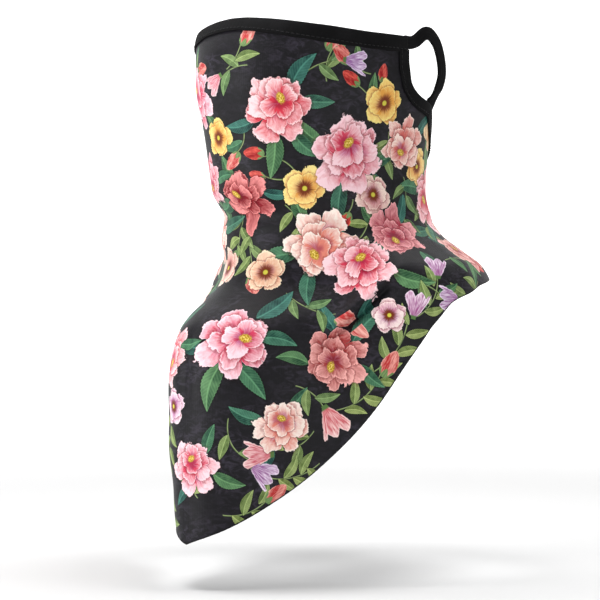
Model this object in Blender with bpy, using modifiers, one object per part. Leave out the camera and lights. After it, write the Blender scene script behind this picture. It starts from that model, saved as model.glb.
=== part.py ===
"""Cloth face mask of the neck gaiter kind, in the shape that it has when it is worn.

A tube of stretch cloth hangs from the bridge of the nose, closes in under the chin, flares onto the
shoulders and ends in a point on the chest. One tape binds the nose edge, another binds both ear
cut-outs and the nape, and a strap loops round the back of each ear.

Metres, +Z up. The wearer faces -Y and the wearer's left is +X. The origin is the middle of the line
between the two places where the loops hang over the ears. A place on the cloth is given by its turn,
in degrees round the neck from the front, and its height.
"""

import math
from collections import namedtuple

import bmesh
import bpy
import numpy as np
from mathutils import Vector

# Cloth, tape and straps
CLOTH = 0.0010            # wall of the cloth
TAPE = 0.0008             # one layer of the folded tape
NOSE_TAPE_WIDTH = 0.0085  # how far the nose tape reaches in from the edge
NAPE_TAPE_WIDTH = 0.0065  # how far the nape tape reaches in from the edge
STRAP = 0.0020            # thickness of an ear loop
STRAP_WIDTH = 0.0075      # width of an ear loop
CLEARANCE = 0.0003        # gap between pieces that meet
FOLD_ROOM = 0.0010        # gap between the cut edge of the cloth and the fold of the tape
LANDING_GAP = 0.0014      # gap between an ear loop and the curved fold that it lands on

# Heights above and drops below the ears
NOSE_RISE = 0.0092        # top edge on the bridge of the nose
CHIN_DROP = 0.093         # the chin
THROAT_DROP = 0.127       # the narrowest place, under the chin
SHOULDER_DROP = 0.147     # hem on the shoulders and the back
CHEST_DROP = 0.228        # the fullest place of the chest
TIP_DROP = 0.308          # the point of the hem
EAR_DROP = 0.0400         # foot of an ear cut-out
NAPE_DROP = 0.0700        # edge at the middle of the nape

# Reaches forwards and backwards of the ears, and widths
AXIS = 0.003              # the middle of the neck lies this far forward of the ears
NOSE_REACH = 0.107        # ridge of the nose
CHIN_REACH = 0.097        # the chin
THROAT_REACH = 0.0795     # the cloth under the chin
CHEST_REACH = 0.133       # the cloth on the chest
NAPE_REACH = 0.049        # back of the neck, backwards
BACK_REACH = 0.076        # hem on the back, backwards
FACE_WIDTH = 0.142        # across the face at the ears
NECK_WIDTH = 0.122        # across the neck
SHOULDER_WIDTH = 0.204    # across the hem on the shoulders
CHEST_WIDTH = 0.200       # across the chest, if the cloth went on round it

# Ear cut-outs and loops
EAR_TURN = 81.0           # front edge of the cut-out, degrees round from the front
EAR_FOOT_TURN = 104.0     # foot of the cut-out, where the loop lands
LOOP_RISE = 0.0040        # middle of the strap above the ears
LOOP_REACH = 0.0170       # middle of the strap behind the ears
LOOP_SPREAD = 0.0030      # how far the strap stands out from the face

# How finely the shapes are divided
NOSE_COLUMNS = 16
EAR_COLUMNS = 10
NAPE_COLUMNS = 12
BACK_COLUMNS = 15
CLOTH_ROWS = 24
STRAP_STEPS = 30

Section = namedtuple("Section", "height front side back point square")
# Reach forwards, half the width, reach backwards, and the outline's power in front and behind: 2 is an
# ellipse, less is pointed, more is square
SECTIONS = (
    Section(2.70 * NOSE_RISE, 0.78 * NOSE_REACH, 0.490 * FACE_WIDTH, 0.92 * NAPE_REACH, 2.6, 2.0),
    Section(1.10 * NOSE_RISE, 0.88 * NOSE_REACH, 0.495 * FACE_WIDTH, 0.96 * NAPE_REACH, 2.5, 2.0),
    Section(-0.03 * CHIN_DROP, 0.955 * NOSE_REACH, 0.500 * FACE_WIDTH, 1.00 * NAPE_REACH, 2.25, 2.0),
    Section(-0.14 * CHIN_DROP, 0.99 * NOSE_REACH, 0.500 * FACE_WIDTH, 1.00 * NAPE_REACH, 2.05, 2.0),
    Section(-0.30 * CHIN_DROP, 1.00 * NOSE_REACH, 0.495 * FACE_WIDTH, 1.00 * NAPE_REACH, 2.0, 2.0),
    Section(-0.62 * CHIN_DROP, 1.03 * CHIN_REACH, 0.458 * FACE_WIDTH, 1.00 * NAPE_REACH, 2.1, 2.0),
    Section(-1.00 * CHIN_DROP, 0.98 * CHIN_REACH, 0.500 * NECK_WIDTH, 1.00 * NAPE_REACH, 2.05, 2.0),
    Section(-0.87 * THROAT_DROP, 1.01 * THROAT_REACH, 0.510 * NECK_WIDTH, 1.06 * NAPE_REACH, 2.0, 2.1),
    Section(-0.95 * THROAT_DROP, 0.99 * THROAT_REACH, 0.560 * NECK_WIDTH, 1.22 * NAPE_REACH, 1.8, 2.2),
    Section(-0.89 * SHOULDER_DROP, 0.61 * CHEST_REACH, 0.400 * SHOULDER_WIDTH, 0.88 * BACK_REACH, 1.5, 2.4),
    Section(-0.96 * SHOULDER_DROP, 0.64 * CHEST_REACH, 0.470 * SHOULDER_WIDTH, 0.97 * BACK_REACH, 1.3, 2.5),
    Section(-1.03 * SHOULDER_DROP, 0.68 * CHEST_REACH, 0.495 * SHOULDER_WIDTH, 1.02 * BACK_REACH, 1.25, 2.5),
    Section(-0.71 * CHEST_DROP, 0.76 * CHEST_REACH, 0.500 * SHOULDER_WIDTH, 1.02 * BACK_REACH, 1.3, 2.5),
    Section(-0.75 * CHEST_DROP, 0.86 * CHEST_REACH, 0.500 * SHOULDER_WIDTH, 1.02 * BACK_REACH, 1.3, 2.5),
    Section(-0.79 * CHEST_DROP, 0.93 * CHEST_REACH, 0.500 * CHEST_WIDTH, 1.02 * BACK_REACH, 1.3, 2.5),
    Section(-0.86 * CHEST_DROP, 0.98 * CHEST_REACH, 0.500 * CHEST_WIDTH, 1.02 * BACK_REACH, 1.25, 2.5),
    Section(-1.00 * CHEST_DROP, 1.00 * CHEST_REACH, 0.500 * CHEST_WIDTH, 1.02 * BACK_REACH, 1.25, 2.5),
    Section(-0.88 * TIP_DROP, 0.995 * CHEST_REACH, 0.490 * CHEST_WIDTH, 1.02 * BACK_REACH, 1.10, 2.5),
    Section(-1.00 * TIP_DROP, 1.01 * CHEST_REACH, 0.480 * CHEST_WIDTH, 1.02 * BACK_REACH, 1.05, 2.5),
)

EdgePoint = namedtuple("EdgePoint", "turn height")
NOSE_EDGE = (
    EdgePoint(0.00 * EAR_TURN, 1.00 * NOSE_RISE),
    EdgePoint(0.20 * EAR_TURN, 0.88 * NOSE_RISE),
    EdgePoint(0.45 * EAR_TURN, 0.34 * NOSE_RISE),
    EdgePoint(0.75 * EAR_TURN, -0.02 * NOSE_RISE),
    EdgePoint(1.00 * EAR_TURN, -0.05 * NOSE_RISE),
)
EAR_EDGE = (
    EdgePoint(1.00 * EAR_TURN, -0.05 * NOSE_RISE),
    EdgePoint(1.00 * EAR_TURN, -0.36 * EAR_DROP),
    EdgePoint(0.90 * EAR_TURN + 0.10 * EAR_FOOT_TURN, -0.68 * EAR_DROP),
    EdgePoint(0.56 * EAR_TURN + 0.44 * EAR_FOOT_TURN, -0.89 * EAR_DROP),
    EdgePoint(1.00 * EAR_FOOT_TURN, -1.00 * EAR_DROP),
)
NAPE_EDGE = (
    EdgePoint(1.00 * EAR_FOOT_TURN, -1.00 * EAR_DROP),
    EdgePoint(0.60 * EAR_FOOT_TURN + 60.0, -0.32 * EAR_DROP - 0.68 * NAPE_DROP),
    EdgePoint(150.0, -0.97 * NAPE_DROP),
    EdgePoint(180.0, -1.00 * NAPE_DROP),
)
HEM = (
    EdgePoint(0.0, -1.000 * TIP_DROP),
    EdgePoint(9.0, -0.974 * TIP_DROP),
    EdgePoint(23.0, -0.914 * TIP_DROP),
    EdgePoint(37.0, -0.853 * TIP_DROP),
    EdgePoint(50.0, -0.790 * TIP_DROP),
    EdgePoint(60.0, -0.728 * TIP_DROP),
    EdgePoint(68.0, -0.666 * TIP_DROP),
    EdgePoint(76.0, -0.604 * TIP_DROP),
    EdgePoint(82.0, -1.170 * SHOULDER_DROP),
    EdgePoint(88.0, -1.105 * SHOULDER_DROP),
    EdgePoint(98.0, -1.067 * SHOULDER_DROP),
    EdgePoint(107.0, -1.033 * SHOULDER_DROP),
    EdgePoint(130.0, -1.005 * SHOULDER_DROP),
    EdgePoint(180.0, -1.000 * SHOULDER_DROP),
)

Fold = namedtuple("Fold", "turn height end_turn end_height width rise")
FOLDS = (
    Fold(66.0, -1.01 * SHOULDER_DROP, 42.0, -0.81 * CHEST_DROP, 0.0060, 0.0022),
)
TURN_STEP = 0.5           # degrees either way over which the cloth's slopes are taken
HEIGHT_STEP = 0.0005      # the same for height

CLOTH_COLOUR = (0.020, 0.018, 0.022)
TAPE_COLOUR = (0.006, 0.006, 0.007)


def smooth(xs, ys, x):
    """Height at x of a smooth curve through the points, which doesn't overshoot them."""
    xs = np.asarray(xs, float)
    ys = np.asarray(ys, float)
    if xs[0] > xs[-1]:
        xs = xs[::-1]
        ys = ys[::-1]
    steps = np.diff(xs)
    slopes = np.diff(ys) / steps
    tangents = np.empty(len(xs))
    tangents[0] = slopes[0]
    tangents[-1] = slopes[-1]
    for i in range(1, len(xs) - 1):
        before, after = slopes[i - 1], slopes[i]
        if before * after <= 0.0:
            tangents[i] = 0.0
        else:
            tangents[i] = 2.0 * before * after / (before + after)
    i = int(np.clip(np.searchsorted(xs, x) - 1, 0, len(steps) - 1))
    t = (x - xs[i]) / steps[i]
    return float(
        ys[i] * (1 + 2 * t) * (1 - t) ** 2
        + ys[i + 1] * t * t * (3 - 2 * t)
        + tangents[i] * steps[i] * t * (1 - t) ** 2
        - tangents[i + 1] * steps[i] * t * t * (1 - t)
    )


def section(height):
    """The tube's reach forwards, half width, reach backwards and two powers at a height."""
    heights = [row.height for row in SECTIONS]
    return [smooth(heights, [row[i] for row in SECTIONS], height) for i in range(1, 6)]


def fold_rise(turn, height, radius):
    """How far the folds lift the cloth."""
    rise = 0.0
    for fold in FOLDS:
        along = Vector((math.radians(fold.end_turn - fold.turn) * radius, fold.end_height - fold.height))
        place = Vector((math.radians(abs(turn) - fold.turn) * radius, height - fold.height))
        share = min(max(place.dot(along) / along.length_squared, 0.0), 1.0)
        distance = (place - along * share).length
        rise += fold.rise * math.exp(-((distance / fold.width) ** 2))
    return rise


def cloth_point(turn, height):
    """Point on the middle of the cloth's wall."""
    front, side, back, point, square = section(height)
    across = math.sin(math.radians(turn))
    ahead = math.cos(math.radians(turn))
    reach, power = (front - AXIS, point) if ahead > 0.0 else (back + AXIS, square)
    power = 2.0 + (power - 2.0) * math.sqrt(abs(2.0 * across * ahead))
    radius = (abs(across / side) ** power + abs(ahead / reach) ** power) ** (-1.0 / power)
    radius += fold_rise(turn, height, radius)
    return Vector((radius * across, -AXIS - radius * ahead, height))


def directions(turn, height):
    """The cloth's slopes with turn and with height, and its outward normal."""
    by_turn = cloth_point(turn + TURN_STEP, height) - cloth_point(turn - TURN_STEP, height)
    by_height = cloth_point(turn, height + HEIGHT_STEP) - cloth_point(turn, height - HEIGHT_STEP)
    by_turn /= 2 * TURN_STEP
    by_height /= 2 * HEIGHT_STEP
    return by_turn, by_height, by_turn.cross(by_height).normalized()


def edge_height(rows, turn):
    return smooth([row.turn for row in rows], [row.height for row in rows], turn)


def edge_stations(rows, columns):
    """Places along an edge, at even shares of its turn."""
    turns = np.linspace(rows[0].turn, rows[-1].turn, columns + 1)
    return [EdgePoint(float(turn), edge_height(rows, turn)) for turn in turns]


def ear_stations():
    """Places down the front of an ear cut-out and round its foot."""
    shares = np.linspace(0.0, 1.0, len(EAR_EDGE))
    turns = [row.turn for row in EAR_EDGE]
    heights = [row.height for row in EAR_EDGE]
    places = np.linspace(0.0, 1.0, EAR_COLUMNS + 1)
    return [EdgePoint(smooth(shares, turns, place), smooth(shares, heights, place)) for place in places]


def mirrored(stations):
    """The same places on the other side, in the opposite order."""
    return [EdgePoint(-station.turn, station.height) for station in reversed(stations)]


def link(collection_name, thing):
    collection = bpy.data.collections.get(collection_name)
    if collection is None:
        collection = bpy.data.collections.new(collection_name)
        bpy.context.scene.collection.children.link(collection)
    collection.objects.link(thing)


def finish(name, colour, roughness):
    material = bpy.data.materials.new(name)
    material.use_nodes = True
    shader = material.node_tree.nodes["Principled BSDF"]
    shader.inputs["Base Color"].default_value = (*colour, 1.0)
    shader.inputs["Roughness"].default_value = roughness
    shader.inputs["Metallic"].default_value = 0.0
    return material


def walled_sheet(name, rows, closed, thickness, side, material):
    """An open surface through rows of points, given a wall.

    Side 0 puts the wall on both sides of the surface, 1 on the side that its faces point to.
    """
    shape = bmesh.new()
    grid = [[shape.verts.new(point) for point in row] for row in rows]
    columns = len(grid[0])
    last = columns if closed else columns - 1
    for upper, lower in zip(grid, grid[1:]):
        for i in range(last):
            j = (i + 1) % columns
            shape.faces.new((upper[i], lower[i], lower[j], upper[j]))
    mesh = bpy.data.meshes.new(name)
    shape.to_mesh(mesh)
    shape.free()
    mesh.shade_smooth()
    mesh.materials.append(material)
    sheet = bpy.data.objects.new(name, mesh)
    wall = sheet.modifiers.new("Wall", "SOLIDIFY")
    wall.thickness = thickness
    wall.offset = side
    wall.use_even_offset = True
    link("Face mask", sheet)
    return sheet


def ear_and_nape_cutter():
    """What is cut away behind the face: both ear cut-outs and the nape, as one outline seen from the side."""
    stations = ear_stations()[:-1] + edge_stations(NAPE_EDGE, NAPE_COLUMNS)
    edge = [cloth_point(*station) for station in stations]
    top = SECTIONS[0].height
    behind = edge[-1].y + BACK_REACH
    outline = [(edge[0].y, top), *((point.y, point.z) for point in edge), (behind, edge[-1].z), (behind, top)]
    shape = bmesh.new()
    shape.faces.new([shape.verts.new((0.0, y, z)) for y, z in outline])
    mesh = bpy.data.meshes.new("ear_and_nape_cutter")
    shape.to_mesh(mesh)
    shape.free()
    cutter = bpy.data.objects.new("ear_and_nape_cutter", mesh)
    depth = cutter.modifiers.new("Depth", "SOLIDIFY")
    depth.thickness = 2.0 * FACE_WIDTH
    depth.offset = 0.0
    cutter.hide_render = True
    cutter.display_type = "WIRE"
    link("Cutters", cutter)
    return cutter


def mask_cloth():
    """The tube, from the edge that the tapes bind down to the hem."""
    turns = list(np.linspace(-EAR_TURN, EAR_TURN, 2 * NOSE_COLUMNS + 1))
    turns += list(np.linspace(EAR_TURN, 360.0 - EAR_TURN, 2 * BACK_COLUMNS + 1))[1:-1]
    drops = [share * NOSE_TAPE_WIDTH for share in (0.0, 0.35, 0.7, 1.05)]
    ends = []
    for turn in turns:
        round_from_front = min(turn, 360.0 - turn) if turn > 0.0 else -turn
        top = edge_height(NOSE_EDGE, min(round_from_front, EAR_TURN))
        ends.append((float(turn), top, edge_height(HEM, round_from_front)))
    rows = [[cloth_point(turn, top - drop) for turn, top, bottom in ends] for drop in drops]
    for i in range(1, CLOTH_ROWS + 1):
        row = []
        for turn, top, bottom in ends:
            start = top - drops[-1]
            row.append(cloth_point(turn, start + (bottom - start) * i / CLOTH_ROWS))
        rows.append(row)
    material = finish("Printed stretch cloth", CLOTH_COLOUR, 0.75)
    cloth = walled_sheet("mask_cloth", rows, True, CLOTH, 0.0, material)
    cut = cloth.modifiers.new("Ear cut-outs and nape", "BOOLEAN")
    cut.operation = "DIFFERENCE"
    cut.object = ear_and_nape_cutter()
    return cloth


def edge_frames(stations):
    """At each station: its place, the directions along the edge, into the cloth and out of it."""
    points = [cloth_point(*station) for station in stations]
    frames = []
    for i, station in enumerate(stations):
        before = points[max(i - 1, 0)]
        after = points[min(i + 1, len(points) - 1)]
        by_turn, by_height, normal = directions(*station)
        along = (after - before).normalized()
        along = (along - normal * along.dot(normal)).normalized()
        frames.append((station, along, along.cross(normal), by_turn, by_height))
    return frames


def beside_edge(frame, inwards, outwards):
    """A point a way in from the edge, over the cloth, and a way out from the middle of its wall."""
    station, along, inward, by_turn, by_height = frame
    slopes = np.array([by_turn, by_height]).T
    turn, height = np.linalg.lstsq(slopes, np.array(inward) * inwards, rcond=None)[0]
    place = (station.turn + float(turn), station.height + float(height))
    return cloth_point(*place) + directions(*place)[2] * outwards


def binding(name, stations, width):
    """Tape folded over the edge of the cloth along the stations, which run to the wearer's left."""
    face = CLOTH / 2 + CLEARANCE
    outer_leg = [(share * width, face) for share in (1.0, 0.67, 0.33, 0.0)]
    inner_leg = [(inwards, -face) for inwards, face in reversed(outer_leg)]
    profile = outer_leg + [(-FOLD_ROOM, face / 2), (-FOLD_ROOM, -face / 2)] + inner_leg
    frames = edge_frames(stations)
    rows = [[beside_edge(frame, *place) for frame in frames] for place in reversed(profile)]
    material = finish(name.replace("_", " ").capitalize() + " tape", TAPE_COLOUR, 0.85)
    return walled_sheet(name, rows, False, TAPE, 1.0, material)


def nose_binding():
    left = edge_stations(NOSE_EDGE, NOSE_COLUMNS)
    return binding("nose_binding", mirrored(left)[:-1] + left, NOSE_TAPE_WIDTH)


def nape_stations():
    """Places along the edge that the second tape binds, from the left ear round to the right."""
    below_nose_tape = NOSE_EDGE[-1].height - NOSE_TAPE_WIDTH - 3 * CLEARANCE
    ear = [station for station in ear_stations() if station.height < below_nose_tape]
    shares = np.linspace(0.0, 1.0, len(EAR_EDGE))
    heights = [row.height for row in EAR_EDGE]
    turns = [row.turn for row in EAR_EDGE]
    share = float(np.interp(-below_nose_tape, [-height for height in heights], shares))
    start = EdgePoint(smooth(shares, turns, share), smooth(shares, heights, share))
    left = [start] + ear[:-1] + edge_stations(NAPE_EDGE, NAPE_COLUMNS)
    right = [EdgePoint(360.0 - station.turn, station.height) for station in reversed(left[:-1])]
    return left + right


def nape_binding():
    return binding("nape_binding", nape_stations(), NAPE_TAPE_WIDTH)


def smooth_path(points, start, end, steps):
    """Points along a smooth curve through the given ones, which leaves and arrives as asked."""
    tangents = [start * (points[1] - points[0]).length]
    tangents += [(after - before) / 2 for before, after in zip(points, points[2:])]
    tangents += [end * (points[-1] - points[-2]).length]
    path = []
    for i in range(steps + 1):
        place = i / steps * (len(points) - 1)
        k = min(int(place), len(points) - 2)
        t = place - k
        path.append(
            points[k] * (1 + 2 * t) * (1 - t) ** 2
            + points[k + 1] * t * t * (3 - 2 * t)
            + tangents[k] * t * (1 - t) ** 2
            - tangents[k + 1] * t * t * (1 - t)
        )
    return path


def ear_loop(name, hand):
    """A flat strap from the end of the nose tape, round the back of the ear, to the nape tape."""
    nose = edge_frames(edge_stations(NOSE_EDGE, NOSE_COLUMNS))[-1]
    foot = edge_frames([*ear_stations()[-2:], edge_stations(NAPE_EDGE, NAPE_COLUMNS)[1]])[1]
    start = beside_edge(nose, 0.5 * NOSE_TAPE_WIDTH, 0.0) + nose[1] * (2 * CLEARANCE)
    landing = FOLD_ROOM + TAPE + LANDING_GAP
    end = beside_edge(foot, 0.0, 0.0) - foot[2] * landing
    out = start.x + LOOP_SPREAD
    drop = LOOP_RISE - end.z
    route = [
        start,
        Vector((out, 0.0, LOOP_RISE)),
        Vector((out, 0.50 * LOOP_REACH, LOOP_RISE - 0.07 * drop)),
        Vector((out, 0.80 * LOOP_REACH, LOOP_RISE - 0.27 * drop)),
        Vector((out - 0.3 * LOOP_SPREAD, 0.99 * LOOP_REACH, LOOP_RISE - 0.56 * drop)),
        Vector((0.6 * out + 0.4 * end.x, 0.96 * LOOP_REACH, LOOP_RISE - 0.80 * drop)),
        end,
    ]
    path = smooth_path(route, nose[1], foot[2], STRAP_STEPS)
    start_out = directions(*nose[0])[2]
    end_out = directions(*foot[0])[2]
    headings = [nose[1], *(after - before for before, after in zip(path, path[2:])), foot[2]]
    rows = []
    for i, (point, along) in enumerate(zip(path, headings)):
        out = start_out.lerp(end_out, i / STRAP_STEPS)
        across = along.cross(out).normalized() * (STRAP_WIDTH / 2)
        rows.append([point - across, point + across])
    if hand < 0:
        rows = [[Vector((-point.x, point.y, point.z)) for point in reversed(row)] for row in rows]
    material = finish(name.replace("_", " ").capitalize() + " strap", TAPE_COLOUR, 0.85)
    return walled_sheet(name, rows, False, STRAP, 0.0, material)


def main():
    for thing in list(bpy.data.objects):
        bpy.data.objects.remove(thing)
    mask_cloth()
    nose_binding()
    nape_binding()
    ear_loop("ear_loop_left", 1)
    ear_loop("ear_loop_right", -1)


main()
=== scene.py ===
"""Looks of a cloth face mask in its worn shape: printed stretch cloth, bound edges and two ear loops.

The shape of the cloth is worked out from the same named sizes and tables as the part's. A place on it
is given by its turn, in degrees round the neck from the front, and its height. The print is laid on the
cloth motif by motif: each face keeps its place in the motif that covers it, and the material draws it.
"""

import math
from collections import Counter, namedtuple

import bmesh
import bpy
import numpy as np
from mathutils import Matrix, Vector


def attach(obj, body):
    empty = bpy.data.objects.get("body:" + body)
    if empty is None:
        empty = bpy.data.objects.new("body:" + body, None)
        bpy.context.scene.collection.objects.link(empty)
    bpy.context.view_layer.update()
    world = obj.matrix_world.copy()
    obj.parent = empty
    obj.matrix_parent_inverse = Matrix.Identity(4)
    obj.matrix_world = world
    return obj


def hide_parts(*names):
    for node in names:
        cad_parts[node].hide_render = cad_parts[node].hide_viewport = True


bl_info = {
    "name": "Cloth face mask",
    "version": (1, 0, 0),
    "blender": (4, 5, 0),
    "location": "View3D > Sidebar > Face mask",
    "description": "Builds a printed cloth face mask with bound edges and ear loops",
    "category": "Add Mesh",
}

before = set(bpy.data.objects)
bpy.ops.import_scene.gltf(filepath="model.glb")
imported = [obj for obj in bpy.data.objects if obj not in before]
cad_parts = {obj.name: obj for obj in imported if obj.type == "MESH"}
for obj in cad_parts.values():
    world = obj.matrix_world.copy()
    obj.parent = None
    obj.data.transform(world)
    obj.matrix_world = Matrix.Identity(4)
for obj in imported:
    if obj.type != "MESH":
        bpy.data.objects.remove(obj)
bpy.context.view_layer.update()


def table(name, columns, *rows):
    """Rows with named columns."""
    kind = namedtuple(name, columns)
    return tuple(kind(*row) for row in rows)


# Heights above and drops below the ears, in metres
NOSE_RISE = 0.0092
CHIN_DROP = 0.093
THROAT_DROP = 0.127
SHOULDER_DROP = 0.147
CHEST_DROP = 0.228
TIP_DROP = 0.308
EAR_DROP = 0.0400
NAPE_DROP = 0.0700

# Reaches forwards and backwards of the ears, and widths
AXIS = 0.003
NOSE_REACH = 0.107
CHIN_REACH = 0.097
THROAT_REACH = 0.0795
CHEST_REACH = 0.133
NAPE_REACH = 0.049
BACK_REACH = 0.076
FACE_WIDTH = 0.142
NECK_WIDTH = 0.122
SHOULDER_WIDTH = 0.204
CHEST_WIDTH = 0.200

# Ear cut-outs and loops
EAR_TURN = 81.0
EAR_FOOT_TURN = 104.0
LOOP_RISE = 0.0040
LOOP_REACH = 0.0170
LOOP_SPREAD = 0.0030
CLEARANCE = 0.0003
FOLD_ROOM = 0.0010
LANDING_GAP = 0.0014

# The cloth as a flat sheet, and the pitch of its knit
FLAT_ROUND = 0.48
KNIT_PITCH = 0.0009

# How far the loops' ends reach into the tapes, and over what length they take the nose tape's form
NOSE_TUCK = 0.0018
NAPE_TUCK = 0.0026
LOOP_BLEND = 0.010
STRAP_ROUND = 0.0175

# The arc on which folds are measured
FOLD_RADIUS = 0.075

# How near its surface the cloth takes a motif, a motif's spare edge, and a place that no motif reaches
PRINT_REACH = 0.016
BLEED = 0.0020
NOWHERE = 9.0

SECTIONS = table(
    "Section", "height front side back point square",
    (2.70 * NOSE_RISE, 0.78 * NOSE_REACH, 0.490 * FACE_WIDTH, 0.92 * NAPE_REACH, 2.6, 2.0),
    (1.10 * NOSE_RISE, 0.88 * NOSE_REACH, 0.495 * FACE_WIDTH, 0.96 * NAPE_REACH, 2.5, 2.0),
    (-0.03 * CHIN_DROP, 0.955 * NOSE_REACH, 0.500 * FACE_WIDTH, 1.00 * NAPE_REACH, 2.25, 2.0),
    (-0.14 * CHIN_DROP, 0.99 * NOSE_REACH, 0.500 * FACE_WIDTH, 1.00 * NAPE_REACH, 2.05, 2.0),
    (-0.30 * CHIN_DROP, 1.00 * NOSE_REACH, 0.495 * FACE_WIDTH, 1.00 * NAPE_REACH, 2.0, 2.0),
    (-0.62 * CHIN_DROP, 1.03 * CHIN_REACH, 0.458 * FACE_WIDTH, 1.00 * NAPE_REACH, 2.1, 2.0),
    (-1.00 * CHIN_DROP, 0.98 * CHIN_REACH, 0.500 * NECK_WIDTH, 1.00 * NAPE_REACH, 2.05, 2.0),
    (-0.87 * THROAT_DROP, 1.01 * THROAT_REACH, 0.510 * NECK_WIDTH, 1.06 * NAPE_REACH, 2.0, 2.1),
    (-0.95 * THROAT_DROP, 0.99 * THROAT_REACH, 0.560 * NECK_WIDTH, 1.22 * NAPE_REACH, 1.8, 2.2),
    (-0.89 * SHOULDER_DROP, 0.61 * CHEST_REACH, 0.400 * SHOULDER_WIDTH, 0.88 * BACK_REACH, 1.5, 2.4),
    (-0.96 * SHOULDER_DROP, 0.64 * CHEST_REACH, 0.470 * SHOULDER_WIDTH, 0.97 * BACK_REACH, 1.3, 2.5),
    (-1.03 * SHOULDER_DROP, 0.68 * CHEST_REACH, 0.495 * SHOULDER_WIDTH, 1.02 * BACK_REACH, 1.25, 2.5),
    (-0.71 * CHEST_DROP, 0.76 * CHEST_REACH, 0.500 * SHOULDER_WIDTH, 1.02 * BACK_REACH, 1.3, 2.5),
    (-0.75 * CHEST_DROP, 0.86 * CHEST_REACH, 0.500 * SHOULDER_WIDTH, 1.02 * BACK_REACH, 1.3, 2.5),
    (-0.79 * CHEST_DROP, 0.93 * CHEST_REACH, 0.500 * CHEST_WIDTH, 1.02 * BACK_REACH, 1.3, 2.5),
    (-0.86 * CHEST_DROP, 0.98 * CHEST_REACH, 0.500 * CHEST_WIDTH, 1.02 * BACK_REACH, 1.25, 2.5),
    (-1.00 * CHEST_DROP, 1.00 * CHEST_REACH, 0.500 * CHEST_WIDTH, 1.02 * BACK_REACH, 1.25, 2.5),
    (-0.88 * TIP_DROP, 0.995 * CHEST_REACH, 0.490 * CHEST_WIDTH, 1.02 * BACK_REACH, 1.10, 2.5),
    (-1.00 * TIP_DROP, 1.01 * CHEST_REACH, 0.480 * CHEST_WIDTH, 1.02 * BACK_REACH, 1.05, 2.5),
)

NOSE_EDGE = table(
    "EdgePoint", "turn height",
    (0.00 * EAR_TURN, 1.00 * NOSE_RISE),
    (0.08 * EAR_TURN, 0.95 * NOSE_RISE),
    (0.20 * EAR_TURN, 0.76 * NOSE_RISE),
    (0.45 * EAR_TURN, 0.30 * NOSE_RISE),
    (0.75 * EAR_TURN, -0.02 * NOSE_RISE),
    (1.00 * EAR_TURN, -0.05 * NOSE_RISE),
)
EAR_EDGE = table(
    "EdgePoint", "turn height",
    (1.00 * EAR_TURN, -0.05 * NOSE_RISE),
    (1.00 * EAR_TURN, -0.36 * EAR_DROP),
    (0.90 * EAR_TURN + 0.10 * EAR_FOOT_TURN, -0.68 * EAR_DROP),
    (0.56 * EAR_TURN + 0.44 * EAR_FOOT_TURN, -0.89 * EAR_DROP),
    (1.00 * EAR_FOOT_TURN, -1.00 * EAR_DROP),
)
NAPE_EDGE = table(
    "EdgePoint", "turn height",
    (1.00 * EAR_FOOT_TURN, -1.00 * EAR_DROP),
    (0.60 * EAR_FOOT_TURN + 60.0, -0.32 * EAR_DROP - 0.68 * NAPE_DROP),
    (150.0, -0.97 * NAPE_DROP),
    (180.0, -1.00 * NAPE_DROP),
)
HEM = table(
    "EdgePoint", "turn height",
    (0.0, -1.000 * TIP_DROP),
    (9.0, -0.974 * TIP_DROP),
    (23.0, -0.914 * TIP_DROP),
    (37.0, -0.853 * TIP_DROP),
    (50.0, -0.790 * TIP_DROP),
    (60.0, -0.728 * TIP_DROP),
    (68.0, -0.666 * TIP_DROP),
    (76.0, -0.604 * TIP_DROP),
    (82.0, -1.170 * SHOULDER_DROP),
    (88.0, -1.105 * SHOULDER_DROP),
    (98.0, -1.067 * SHOULDER_DROP),
    (107.0, -1.033 * SHOULDER_DROP),
    (130.0, -1.005 * SHOULDER_DROP),
    (180.0, -1.000 * SHOULDER_DROP),
)

# Folds of the worn cloth: from one place to another, how wide and how high, below zero for a crease
FOLDS = table(
    "Fold", "turn height end_turn end_height width rise",
    (-52, -0.122, 30, -0.122, 0.011, 0.005),
    (-40, -0.205, 10, -0.215, 0.022, 0.003),
    (-36, -0.25, 4, -0.258, 0.02, 0.0034),
    (-30, -0.3, 0, -0.308, 0.012, -0.0036),
    (69, -0.142, 42, -0.178, 0.0042, 0.006),
    (64, -0.156, 40, -0.188, 0.003, -0.0062),
    (-66, -0.148, -44, -0.183, 0.006, 0.0022),
    (-1, -0.18, 0, -0.224, 0.0022, -0.0022),
    (92, -0.086, 58, -0.108, 0.005, 0.0011),
    (96, -0.101, 64, -0.119, 0.0035, -0.001),
    (-90, -0.088, -56, -0.107, 0.005, 0.0013),
    (24, -0.117, -24, -0.121, 0.004, 0.0011),
    (30, -0.104, 70, -0.126, 0.0035, -0.001),
    (82, -0.02, 62, -0.04, 0.004, 0.001),
    (-82, -0.02, -60, -0.042, 0.004, 0.001),
    (150, -0.09, 205, -0.094, 0.0045, 0.0016),
    (140, -0.106, 196, -0.11, 0.004, -0.0013),
    (118, -0.1, 150, -0.132, 0.005, 0.0014),
    (-118, -0.098, -148, -0.13, 0.005, 0.0014),
    (100, -0.128, 96, -0.152, 0.006, 0.0019),
    (-102, -0.128, -95, -0.152, 0.006, 0.0019),
    (20, -0.215, 34, -0.262, 0.007, 0.0013),
    (-22, -0.21, -36, -0.258, 0.007, 0.0014),
)

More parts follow.
